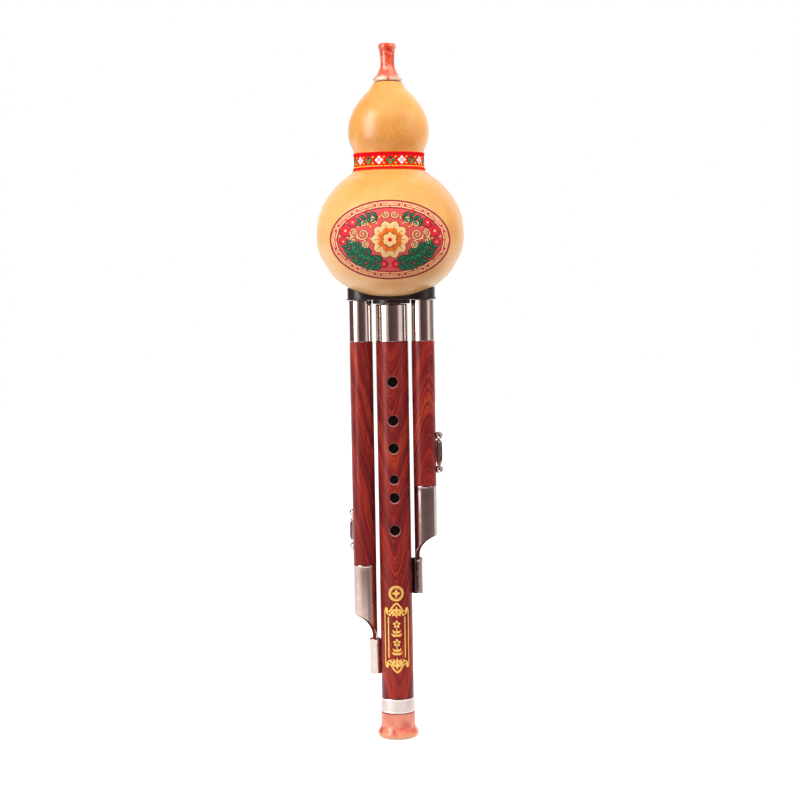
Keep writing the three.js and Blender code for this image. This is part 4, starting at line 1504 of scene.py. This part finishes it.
def equal_angles(count):
    """Angles that cut the border into stretches of equal length."""
    steps = 2000
    line = ellipse_line((fret_outer + fret_inner) / 2, steps)
    lengths = [0.0]
    for here, there in zip(line, line[1:]):
        lengths.append(lengths[-1] + math.dist(here, there))
    return [360 * bisect_left(lengths, lengths[-1] * k / count) / steps for k in range(count + 1)]


def fret_border(ink):
    """A border of squared hooks in mirrored pairs."""
    hook = ((0.94, 0.12), (0.08, 0.12), (0.08, 0.88), (0.94, 0.88), (0.94, 0.5), (0.34, 0.5))
    angles = equal_angles(2 * fret_pairs)
    for k, (start, end) in enumerate(zip(angles, angles[1:])):
        line = []
        for along, across in hook:
            share = along if k % 2 else 1 - along
            inset = fret_inner + (fret_outer - fret_inner) * across
            line.append(on_ellipse(inset, start + (end - start) * share))
        ink.blade(line, 0.62, 1)


def leaf(inks, foot, heading, length, width, bend):
    """A slender leaf with a dark edge and a pale rib."""
    ahead = towards(heading)
    aside = Vector((-ahead.y, ahead.x)) * bend * length
    halfway = Vector(foot) + ahead * length / 2 + aside
    tip = Vector(foot) + ahead * length
    edge = smooth_line([foot, halfway, tip + ahead * 0.35], 4)
    spine = smooth_line([foot, halfway, tip], 4)
    inks["line"].blade(edge, petal_width(width + 0.75), 3)
    inks["green"].blade(spine, petal_width(width), 4, 0.16)
    inks["pale_green"].blade(spine[1:-1], petal_width(0.38, 0.9), 1)


def spray(inks, spine, count, length, width, lean, side):
    """A curved stem with pairs of leaves that shorten towards its tip."""
    line = smooth_line([(side * x, y) for x, y in spine], 12)
    inks["line"].blade(line, 0.9, 1)
    inks["green"].blade(line, 0.5, 1, 0.1)

    def heading_at(i):
        along = Vector(line[i + 1]) - Vector(line[i])
        return math.atan2(along.y, along.x)

    for k in range(count):
        share = (k + 0.4) / count
        i = min(int(share * (len(line) - 1)), len(line) - 2)
        size = length * (1.0 - 0.35 * share)
        for hand in (-1, 1):
            leaf(inks, line[i], heading_at(i) + hand * math.radians(lean), size, width, 0.1 * hand)
    leaf(inks, line[-1], heading_at(-2), length * 0.6, width, 0.0)


def petals(inks, ink, centre, count, reach, width, first):
    """A ring of round petals, each with a dark edge, and with a short dark vein where they are large."""
    for k in range(count):
        ahead = towards(math.radians(first + 360 * k / count))
        foot, vein_foot, vein_tip, tip = [
            Vector(centre) + ahead * reach * share for share in (0.12, 0.45, 0.8, 1.0)
        ]
        inks["line"].blade([foot, tip + ahead * 0.4], round_width(width + 0.85), 4, step=0.5)
        inks[ink].blade([foot, tip], round_width(width), 6, 0.18, 0.5)
        if reach > 5:
            inks["vein"].blade([vein_foot, vein_tip], 0.32, 1)


def blossom(inks, centre, reach, first):
    """A small red flower with an ivory eye."""
    petals(inks, "red", centre, 5, reach, reach * 0.98, first)
    inks["top_ivory"].disc(centre, reach * 0.2, crown=0.15)


def scroll(inks, centre, radius, start, turns):
    """A spiral tendril that thins towards its middle."""
    steps, width = 40, 0.8
    line = []
    for k in range(steps + 1):
        share = k / steps
        angle = math.radians(start + 360 * turns * share)
        reach = radius * (1 - 0.86 * share)
        line.append((centre[0] + reach * math.cos(angle), centre[1] + reach * math.sin(angle)))
    inks["line"].blade(line, lambda t: width * (1.0 - 0.5 * t) + 0.6, 1)
    inks["ivory"].blade(line, lambda t: width * (1.0 - 0.5 * t), 2, 0.1)
    inks["ivory"].disc(line[-1], width * 0.6, crown=0.1)


def bud(inks, foot, heading, length):
    """A pointed orange bud with a dark edge, in an ivory cup."""
    ahead = towards(math.radians(heading)) * length
    for ink, share, width, columns, crown in (
        ("line", 1.1, 0.62, 3, 0.0),
        ("orange", 1.0, 0.5, 4, 0.15),
        ("top_ivory", 0.6, 0.22, 3, 0.1),
    ):
        tip = Vector(foot) + ahead * share
        inks[ink].blade([foot, tip], petal_width(length * width, 0.7), columns, crown, 0.5)


# The paints with their lift, tone and shade
paints = {
    "ground": (0.03, "e25450", "c84349"),
    "rim": (0.05, "cc3648", "ac2a3e"),
    "line": (0.09, "741c28", "561420"),
    "ivory": (0.14, "f4c98a", "e4b070"),
    "orange": (0.17, "ea7418", "d25a12"),
    "green": (0.14, "06593a", "05342a"),
    "pale_green": (0.32, "2f9a6c", "1f7c58"),
    "red": (0.16, "e00e2c", "c00a24"),
    "vein": (0.36, "9a3a34", "7a2a28"),
    "top_line": (0.24, "741c28", "561420"),
    "top_ivory": (0.36, "f4c98a", "e4b070"),
}

# What lies round the bloom in the right half, and mirrored in the left: sprays with their stem, pairs
# of leaves, leaf length and width, and lean; blossoms, scrolls and buds with their place, size and turn
sprays = (
    (((4, -13.5), (13, -13.6), (21, -9.5), (26.5, -2.5)), 8, 7.4, 2.9, 38),
    (((11, -9.5), (17, -7.2), (21, -3.0)), 4, 5.4, 2.4, 44),
    (((7, 13.6), (14, 13.0), (20, 10.0)), 4, 5.2, 2.0, 42),
)
blossoms = ((27.0, 5.4, 3.7, 90), (22.6, 10.4, 2.9, 70), (28.4, -1.2, 2.5, 100), (3.6, -14.6, 2.1, 90))
scrolls = (
    (16.4, 3.2, 3.6, 0, -1.7), (22.0, 4.4, 2.5, 270, 1.5), (15.6, 9.4, 2.2, 200, -1.5),
    (14.4, -3.0, 2.4, 90, -1.6), (22.6, -0.4, 2.1, 90, -1.4), (10.4, 11.4, 2.3, 0, 1.5),
    (2.6, 15.2, 2.3, 0, -1.5),
)
buds = ((19.0, 0.4, 2.6, -50), (6.4, 12.6, 3.0, 10), (11.2, 7.2, 3.0, -40))
dots = ((25.6, 1.2), (19.0, 7.6), (11.8, 0.6), (12.2, -6.6), (30.6, 2.2), (8.0, 9.8))
upper_depth = 0.05

# Lifts of the bloom's second ring of petals, and of its third ring with the heart
second_ring = {"orange": 0.44, "vein": 0.64}
third_ring = {"line": 0.66, "ivory": 0.70, "red": 0.92}


def medallion():
    """A painted medallion: hooked border, a large bloom, leaf sprays, small blossoms and scrolls."""

    def at_lifts(lifts):
        return {name: Inlay(on_medallion, lift) for name, lift in lifts.items()}

    inks = at_lifts({name: lift for name, (lift, _, _) in paints.items()})
    inks["ground"].disc((0, 0), medallion_across, medallion_up, cells=72)
    inks["rim"].blade(ellipse_line((fret_outer + fret_inner) / 2), fret_inner - fret_outer + 1.2, 4)
    inks["line"].blade(ellipse_line(0.25), 0.5, 1)
    inks["line"].blade(ellipse_line(field_edge - 0.1), 0.35, 1)
    fret_border(inks["ivory"])
    for side in (-1, 1):
        for spine, *sizes in sprays:
            spray(inks, spine, *sizes, side)
        for x, y, reach, first in blossoms:
            blossom(inks, (side * x, y), reach, first)
        for x, y, radius, start, turns in scrolls:
            scroll(inks, (side * x, y), radius, start if side > 0 else 180 - start, turns * side)
        for x, y, length, lean in buds:
            bud(inks, (side * x, y), 90 + side * lean, length)
        for x, y in dots:
            inks["ivory"].disc((side * x, y), 0.45, crown=0.1)
    centre = (0.0, 0.0)
    petals(inks, "ivory", centre, 10, 11.4, 6.4, 0)
    for name in ("vein", "top_line", "top_ivory"):
        inks[name].depth = upper_depth
    upper = {**inks, "line": inks["top_line"], **at_lifts(second_ring)}
    petals(upper, "orange", centre, 8, 7.6, 5.0, 22)
    heart = {**upper, **at_lifts(third_ring)}
    petals(heart, "ivory", centre, 6, 4.4, 3.4, 30)
    heart["red"].disc(centre, 1.2, crown=0.15)
    finishes = {name: paint_finish(name + "_paint", *tones) for name, (_, *tones) in paints.items()}
    pieces = [(name, ink, name) for name, ink in inks.items()]
    pieces += [("bloom_" + name, upper[name], name) for name in second_ring]
    pieces += [("heart_" + name, heart[name], name) for name in third_ring]
    for name, ink, paint in pieces:
        ink.made("medallion_" + name, "gourd_body", "gourd", finishes[paint])


# The woven ribbon round the waist
ribbon_low = low("neck_ribbon").z
ribbon_width = high("neck_ribbon").z - ribbon_low
ribbon_radius = waist_radius + 0.75
ribbon_gap = 0.15
ribbon_thickness = 0.4
ribbon_first = 4.7
ribbon_step = 18.7
ribbon_side_units = 9
ribbon_around = 2 * math.pi * ribbon_radius

# Its threads with their lift, tone and shade
thread_colours = {
    "crimson": (0.03, "d2063a", "b00430"),
    "pink": (0.06, "f06a78", "d84e62"),
    "white": (0.10, "fbf4f2", "e6d2d2"),
    "dark_green": (0.08, "00602e", "004a22"),
    "green": (0.08, "0c9a44", "08742f"),
    "bright_green": (0.08, "12c04e", "0c9a3c"),
    "yellow": (0.08, "fbd84a", "e8a828"),
    "olive": (0.06, "4e5a1c", "2c3a14"),
    "edge": (0.08, "ff1a10", "c80c10"),
}


def on_ribbon(u, v, lift):
    """A place on the ribbon's face: along it, up it and off it."""
    angle = u / ribbon_radius - math.pi / 2
    height = ribbon_low + v
    radius = gourd_radius(height) + ribbon_gap + ribbon_thickness + lift
    return (radius * math.cos(angle), radius * math.sin(angle), height)


def ribbon_band():
    """The red band itself, a closed strip round the waist."""
    rows, columns = 240, 12
    top, bottom = [], []
    for i in range(rows):
        u = ribbon_around * i / rows
        outer, inner = [], []
        for j in range(columns + 1):
            v = ribbon_width * j / columns
            edge = 0.12 if j in (0, columns) else 0.0
            outer.append(on_ribbon(u, v, -edge))
            inner.append(on_ribbon(u, v, edge - ribbon_thickness))
        top.append(outer)
        bottom.append(inner)
    return slab("neck_ribbon_band", top, bottom, wraps=True)


def ribbon_unit(inks, u, kind):
    """A lozenge of four stitches, green on crimson or white on pink."""
    v = 0.52 * ribbon_width
    if kind == "green":
        inks["crimson"].lozenge((u, v), 3.5, 3.2)
        inks["dark_green"].disc((u, v + 1.55), 1.0, 0.9, 0.22)
        for hand in (-1, 1):
            inks["green"].disc((u + hand * 1.75, v), 1.0, 0.9, 0.22)
        inks["bright_green"].disc((u, v - 1.55), 1.0, 0.9, 0.22)
        inks["pink"].disc((u, v), 0.5, 0.45, 0.15)
        return
    inks["pink"].lozenge((u, v), 2.7, 2.45)
    for x, y in ((0, 1.5), (0, -1.5), (1.62, 0), (-1.62, 0)):
        inks["white"].lozenge((u + x, v + y), 1.32, 1.22, 0.2)


def ribbon():
    """The ribbon with its stitched lozenges, dashes and rolled selvedges."""
    inks = {name: Inlay(on_ribbon, lift, 0.05) for name, (lift, _, _) in thread_colours.items()}
    per_degree = math.radians(1) * ribbon_radius
    start = ribbon_first * per_degree
    step = ribbon_step * per_degree
    for k in range(-ribbon_side_units, ribbon_side_units + 1):
        u = start + step * k
        ribbon_unit(inks, u, "white" if k % 2 else "green")
        for share in (0.34, 0.70):
            v = share * ribbon_width
            lean = 14 if share > 0.5 else -14
            inks["yellow"].disc((u + step / 2 - 0.4, v), 0.78, 0.5, 0.16, turn=lean)
            inks["olive"].disc((u + step / 2 + 0.55, v), 0.55, 0.45, 0.14, turn=lean)
    dashes, cord, line_steps = 58, 116, 90
    for k in range(dashes):
        start, v = ribbon_around * k / dashes, 0.18 * ribbon_width
        inks["yellow"].blade([(start, v), (start + 0.78 * ribbon_around / dashes, v)], 0.62, 3, 0.14)
    for share in (0.055, 0.945):
        for k in range(cord):
            inks["edge"].disc((ribbon_around * k / cord, share * ribbon_width), 0.78, 0.5, 0.2, 4, 35)
    for share in (0.115, 0.865):
        line = [(ribbon_around * k / line_steps, share * ribbon_width) for k in range(line_steps + 1)]
        inks["crimson"].blade(line, 0.4, 2, 0.05)
    red_thread = thread_finish("red_thread", "fb120c", "d20a10")
    band = dressed(ribbon_band(), "gourd_body", red_thread, ["neck_ribbon"])
    for name, (_, tone, shade) in thread_colours.items():
        finish = thread_finish(name + "_thread", tone, shade)
        inks[name].made("ribbon_" + name, "gourd_body", "ribbon", finish)


# The gold print on the front of the main pipe
print_ring_height = 93.7
print_ring_radius = 4.93
print_top = 87.6
print_bottom = 43.0
print_middle = (print_top + print_bottom) / 2
print_outer_side = 8.16
print_inner_side = 5.44
print_line = 0.75


def on_pipe(u, v, lift):
    """A place on the main pipe's front, with its height measured from the print's middle."""
    angle = u / main_radius - math.pi / 2 + math.radians(front_turn)
    radius = main_radius + lift
    return (radius * math.cos(angle), radius * math.sin(angle), print_middle + v)


def sprig(ink, y):
    """An upright stem with two pairs of curled leaves under a five-petalled flower."""
    pairs, size = 2, 4.9
    ink.blade([(0, y - size), (0, y + 0.2 * size)], 0.6, 2, 0.04)
    for k in range(pairs):
        height = y - size * 0.8 + k * size * 0.9 / pairs
        reach = 3.5 - 0.7 * k
        for hand in (-1, 1):
            curl = [(0, height), (hand * reach * 0.5, height - 0.2), (hand * reach, height + 1.2)]
            ink.blade(smooth_line(curl, 5), petal_width(1.5, 0.8), 3, 0.05)
    top = y + size * 0.62
    for k in range(5):
        angle = math.radians(72 * k + 90)
        ends = [(reach * math.cos(angle), top + reach * math.sin(angle)) for reach in (0.5, 2.5)]
        ink.blade(ends, round_width(1.5), 3, 0.05, 0.4)


def print_end(ink, up):
    """One end of the frame: a pointed arch, leaf scrolls and two knobs. up is 1 at the top."""
    half = (print_top - print_bottom) / 2

    def place(x, y):
        return (x, up * (half + y))

    for hand in (-1, 1):
        arch = [(0, 0), (1.7, -1.5), (3.1, -3.3), (4.3, -5.1), (5.6, -5.5), (7.05, -4.2)]
        arch = [place(hand * x, y) for x, y in arch]
        ink.blade(smooth_line(arch, 5), lambda t: 1.05 - 0.25 * t, 2, 0.05)
        ink.disc(place(hand * 7.05, -4.2), 1.2, crown=0.08)
        hook = [place(hand * x, y) for x, y in ((8.16, -7.0), (8.3, -5.6), (7.4, -4.5))]
        ink.blade(smooth_line(hook, 4), 0.7, 2, 0.04)
        for foot, tip, width in (
            ((0.4, -5.2), (2.7, -3.9), 1.5),
            ((0.9, -6.2), (4.6, -6.6), 1.6),
            ((0.7, -6.9), (3.0, -8.4), 1.3),
            ((5.2, -7.8), (6.5, -6.6), 1.1),
        ):
            ends = [place(hand * x, y) for x, y in (foot, tip)]
            ink.blade(ends, petal_width(width, 0.8), 4, 0.06)
        for x, y, radius in ((4.4, -7.6, 0.75), (2.7, -5.3, 0.8), (6.6, -6.1, 0.8)):
            ink.disc(place(hand * x, y), radius, crown=0.08)
    ink.blade([place(0, -5.6), place(0, -2.2)], petal_width(1.6, 0.8), 4, 0.06)
    ink.blade([place(0, -6.0), place(0, -9.6)], petal_width(1.4, 0.8), 4, 0.06)
    ink.disc(place(0, -5.8), 0.8, crown=0.08)


def gold_print():
    """A ring with a small rosette, and a framed panel with two flower sprigs."""
    ink = Inlay(on_pipe, 0.05, 0.06)
    ring = (0.0, print_ring_height - print_middle)
    for inset, width, crown in ((0.5, 1.0, 0.05), (1.45, 0.4, 0.02)):
        ink.blade(arc(ring, print_ring_radius - inset, 0, 360, 48), width, 2, crown)
    for k in range(4):
        angle = math.radians(90 * k)
        tip = (ring[0] + 2.6 * math.cos(angle), ring[1] + 2.6 * math.sin(angle))
        ink.blade([ring, tip], petal_width(1.7, 0.9), 4, 0.06)
    half = (print_top - print_bottom) / 2
    for hand in (-1, 1):
        for side, below, above in ((print_outer_side, 7.0, 7.0), (print_inner_side, 9.4, 9.0)):
            ink.blade([(hand * side, below - half), (hand * side, half - above)], print_line, 2, 0.04)
    for up in (1, -1):
        print_end(ink, up)
    for height in (5.6, -6.2):
        sprig(ink, height)
    finish = paint_finish("gold_paint", "ffcf6e", "dc9646", 0.3, 0.25)
    ink.made("gold_print", "main_pipe_body", "brass", finish)


satin = metal_finish("satin_nickel", "d8c2ba", "b79f98", 0.11, 0.17, 0.18, 0.006)
grey_satin = metal_finish("grey_satin_nickel", "c4b4b4", "988a8d", 0.1, 0.15, 0.18, 0.006)
ring_satin = ring_finish("main_bottom_ring")
nickel = metal_finish("polished_nickel", "dbcfc8", "c4b4ab", 0.06, 0.12, 0.5, 0.003)
socket_nickel = metal_finish("socket_nickel", "dccdc5", "b9a69e", 0.07, 0.13, 0.3, 0.008)
shade_painted_nickel = shade_painted_finish("right_foot_socket")
brass = metal_finish("plain_brass", "d0a552", "a87f3a", 0.22, 0.4, 0.3, 0.01)
rosewood = {
    "main": rosewood_finish("rosewood_main", 0.0, 0.26, 5.0),
    "left": rosewood_finish("rosewood_left", -9.0, 0.24, 20.0, high("left_lower_sleeve").z - 1.0),
    "right": rosewood_finish("rosewood_right", 22.5, -0.22, 8.0, high("right_lower_sleeve").z - 1.0),
}
bored = bore_finish()
highlit_rim = rim_finish()
cork_stops = [(0.32, "6f4a2b"), (0.45, "a97d50"), (0.6, "c39a68"), (0.75, "b08455")]
cork = grained_finish("cork", 1.1, 4.0, 0.7, cork_stops, (0.95, 0.75), 0.15)
leather_stops = [(0.35, "cdbd9f"), (0.5, "e4d8bf"), (0.7, "ede4d0")]
leather = grained_finish("pad_leather", 1.7, 3.0, 0.6, leather_stops, (0.85, 0.65), 0.1)

gourd_shell()
pipe_base()
mouthpiece()
bell_foot()
bottom_ring()
main_pipe()
top_ferrule("main_top_ferrule", "main_pipe_body", 0.0, ferrule_radius, ferrule_top, main_bore, 0.5)
for drone in drones:
    ferrule = drone.name + "_top_ferrule"
    top_ferrule(ferrule, drone.body, drone.centre, drone_ferrule, drone_ferrule_top, drone_bore, 0.15)
    drone_pipe(drone)
    lower_sleeve(drone)
    foot_socket(drone)
    foot_screw(drone)
    key_posts(drone)
    key_rod(drone)
    key_lever(drone)
    key_pad(drone)
inner_pieces()
medallion()
ribbon()
gold_print()


# The reed plates keep their solids and get the brass
for node in ("main_reed_plate", "left_reed_plate", "right_reed_plate"):
    mesh = frame["nodes"][node].data
    mesh.materials.clear()
    mesh.materials.append(brass)


# Studio
floor_half = 3000
floor_height = -0.2
lamp_aim = 220

# What metal mirrors round it, as shares of a turn: behind is 0, the left 0.25 and the front 0.5
studio_stops = [
    (0.0, "ffffff"), (0.085, "f4efec"), (0.11, "594244"), (0.17, "594544"), (0.20, "7c6562"),
    (0.23, "6b5552"), (0.28, "7a6361"), (0.300, "c9b6b2"), (0.385, "fff4f0"), (0.420, "eeded9"),
    (0.438, "a08a8a"), (0.458, "675358"), (0.476, "59464b"), (0.600, "6d595b"), (0.622, "8a7474"),
    (0.642, "bba3a1"), (0.660, "fff4ee"), (0.712, "ffffff"), (0.733, "c3b1af"), (0.752, "63484b"),
    (0.770, "bba39e"), (0.800, "ab9990"), (0.832, "4a2b2a"), (0.869, "e4d7d7"), (0.900, "ffffff"),
    (1.0, "ffffff"),
]

# Lamps: name, turn from the front, distance, height, width, length, power, and whether metal mirrors them
lamps = (
    ("left_softbox", -56.5, 1200, 560, 620, 1700, 16, True),
    ("right_softbox", 60, 1300, 420, 420, 1300, 1.5, False),
    ("top_softbox", 10, 700, 1500, 900, 900, 9, False),
    ("right_fill", 75, 900, 600, 900, 900, 3.5, False),
    ("right_rear_softbox", 98, 1000, 950, 800, 700, 5.0, False),
)

# The photograph's camera: its lens, how far it stands to the right and above in degrees, and its aim
camera_lens = 81.6
camera_distance = 1147
camera_side = 2.0
camera_rise = 4.0
camera_roll = -0.95
camera_aim = (4.45, 0, 215.5)


def light_rays(tree):
    """The kinds of a ray, and whether it is seen as it is: straight or through glass."""
    path = add(tree, "ShaderNodeLightPath").outputs
    return path, maths(tree, "MAXIMUM", path["Is Camera Ray"], path["Is Transmission Ray"])


def floor():
    """A white table that keeps a soft shadow and ends in the dark of the room in front."""
    corners = ((-1, -1), (1, -1), (1, 1), (-1, 1))
    points = [(x * floor_half, y * floor_half, floor_height) for x, y in corners]
    made = mesh_object("floor", points, [[0, 1, 2, 3]])
    material, tree, place = new_finish(
        "floor_white", roughness=0.9, specular_ior_level=0.0, emission_color=(1, 1, 1, 1)
    )
    apart = axes(tree, place)
    away = from_origin(tree, scaled(tree, place, 0.55, 1.0, 1.0))
    near = times(
        tree, spread(tree, away, 300, 620, 1.0, 0.0), spread(tree, apart["X"], 90, 170, 1.0, 0.15)
    )
    table = maths(tree, "MAXIMUM", near, spread(tree, apart["Y"], 0, 400, 0.0, 1.0))
    path, seen = light_rays(tree)
    mirrored = times(tree, times(tree, path["Is Glossy Ray"], table), 0.66)
    bright = times(tree, seen, spread(tree, away, 400, 1200, 0.8, 1.0))
    shader = tree.nodes["Principled BSDF"].inputs
    tree.links.new(plus(tree, bright, mirrored), shader["Emission Strength"])
    made.data.materials.append(finished(material, mixed(tree, table, colour("75625f"), colour("b4b2b0"))))


def world():
    """White behind the flute, dark and warm in front of it, and lighter from above."""
    made = bpy.data.worlds.new("studio")
    bpy.context.scene.world = made
    made.use_nodes = True
    tree = made.node_tree
    background = tree.nodes["Background"].inputs
    apart = axes(tree, add(tree, "ShaderNodeTexCoord").outputs["Generated"])
    angle = maths(tree, "ARCTAN2", apart["X"], times(tree, apart["Y"], -1.0))
    studio = ramp(tree, spread(tree, angle, -math.pi, math.pi, 0.0, 1.0), studio_stops)
    sky = spread(tree, apart["Z"], -0.3, 1.0, 0.24, 0.9)
    even = add(tree, "ShaderNodeCombineXYZ", {0: sky, 1: sky, 2: sky}).outputs[0]
    path, seen = light_rays(tree)
    lit = mixed(tree, path["Is Glossy Ray"], even, studio)
    tree.links.new(mixed(tree, seen, lit, (1, 1, 1, 1)), background["Color"])
    background["Strength"].default_value = 1.0


def softbox(name, turn, distance, height, width, tall, power, mirrored):
    """A soft lamp round the flute, at an angle from the front, that looks at the flute's middle."""
    data = bpy.data.lights.new(name, "AREA")
    data.shape = "RECTANGLE"
    data.size = width * MM
    data.size_y = tall * MM
    data.energy = power
    made = new_object(name, data)
    angle = math.radians(turn)
    spot = Vector((math.sin(angle) * distance, -math.cos(angle) * distance, height)) * MM
    made.location = spot
    aim = Vector((0, 0, lamp_aim)) * MM - spot
    made.rotation_euler = aim.to_track_quat("-Z", "Y").to_euler()
    made.visible_glossy = mirrored


def camera():
    """The photograph's view: a little to the right and above, rolled by under a degree."""
    data = bpy.data.cameras.new("camera")
    data.lens = camera_lens
    data.sensor_width = 36
    made = new_object("camera", data)
    bpy.context.scene.camera = made
    side, rise = math.radians(camera_side), math.radians(camera_rise)
    back = Vector((math.sin(side) * math.cos(rise), -math.cos(side) * math.cos(rise), math.sin(rise)))
    made.location = (Vector(camera_aim) + back * camera_distance) * MM
    look = (-back).to_track_quat("-Z", "Y").to_matrix()
    made.rotation_euler = (look @ Matrix.Rotation(math.radians(camera_roll), 3, "Z")).to_euler()


floor()
world()
for lamp in lamps:
    softbox(*lamp)
camera()
bpy.context.scene.view_settings.view_transform = "Standard"
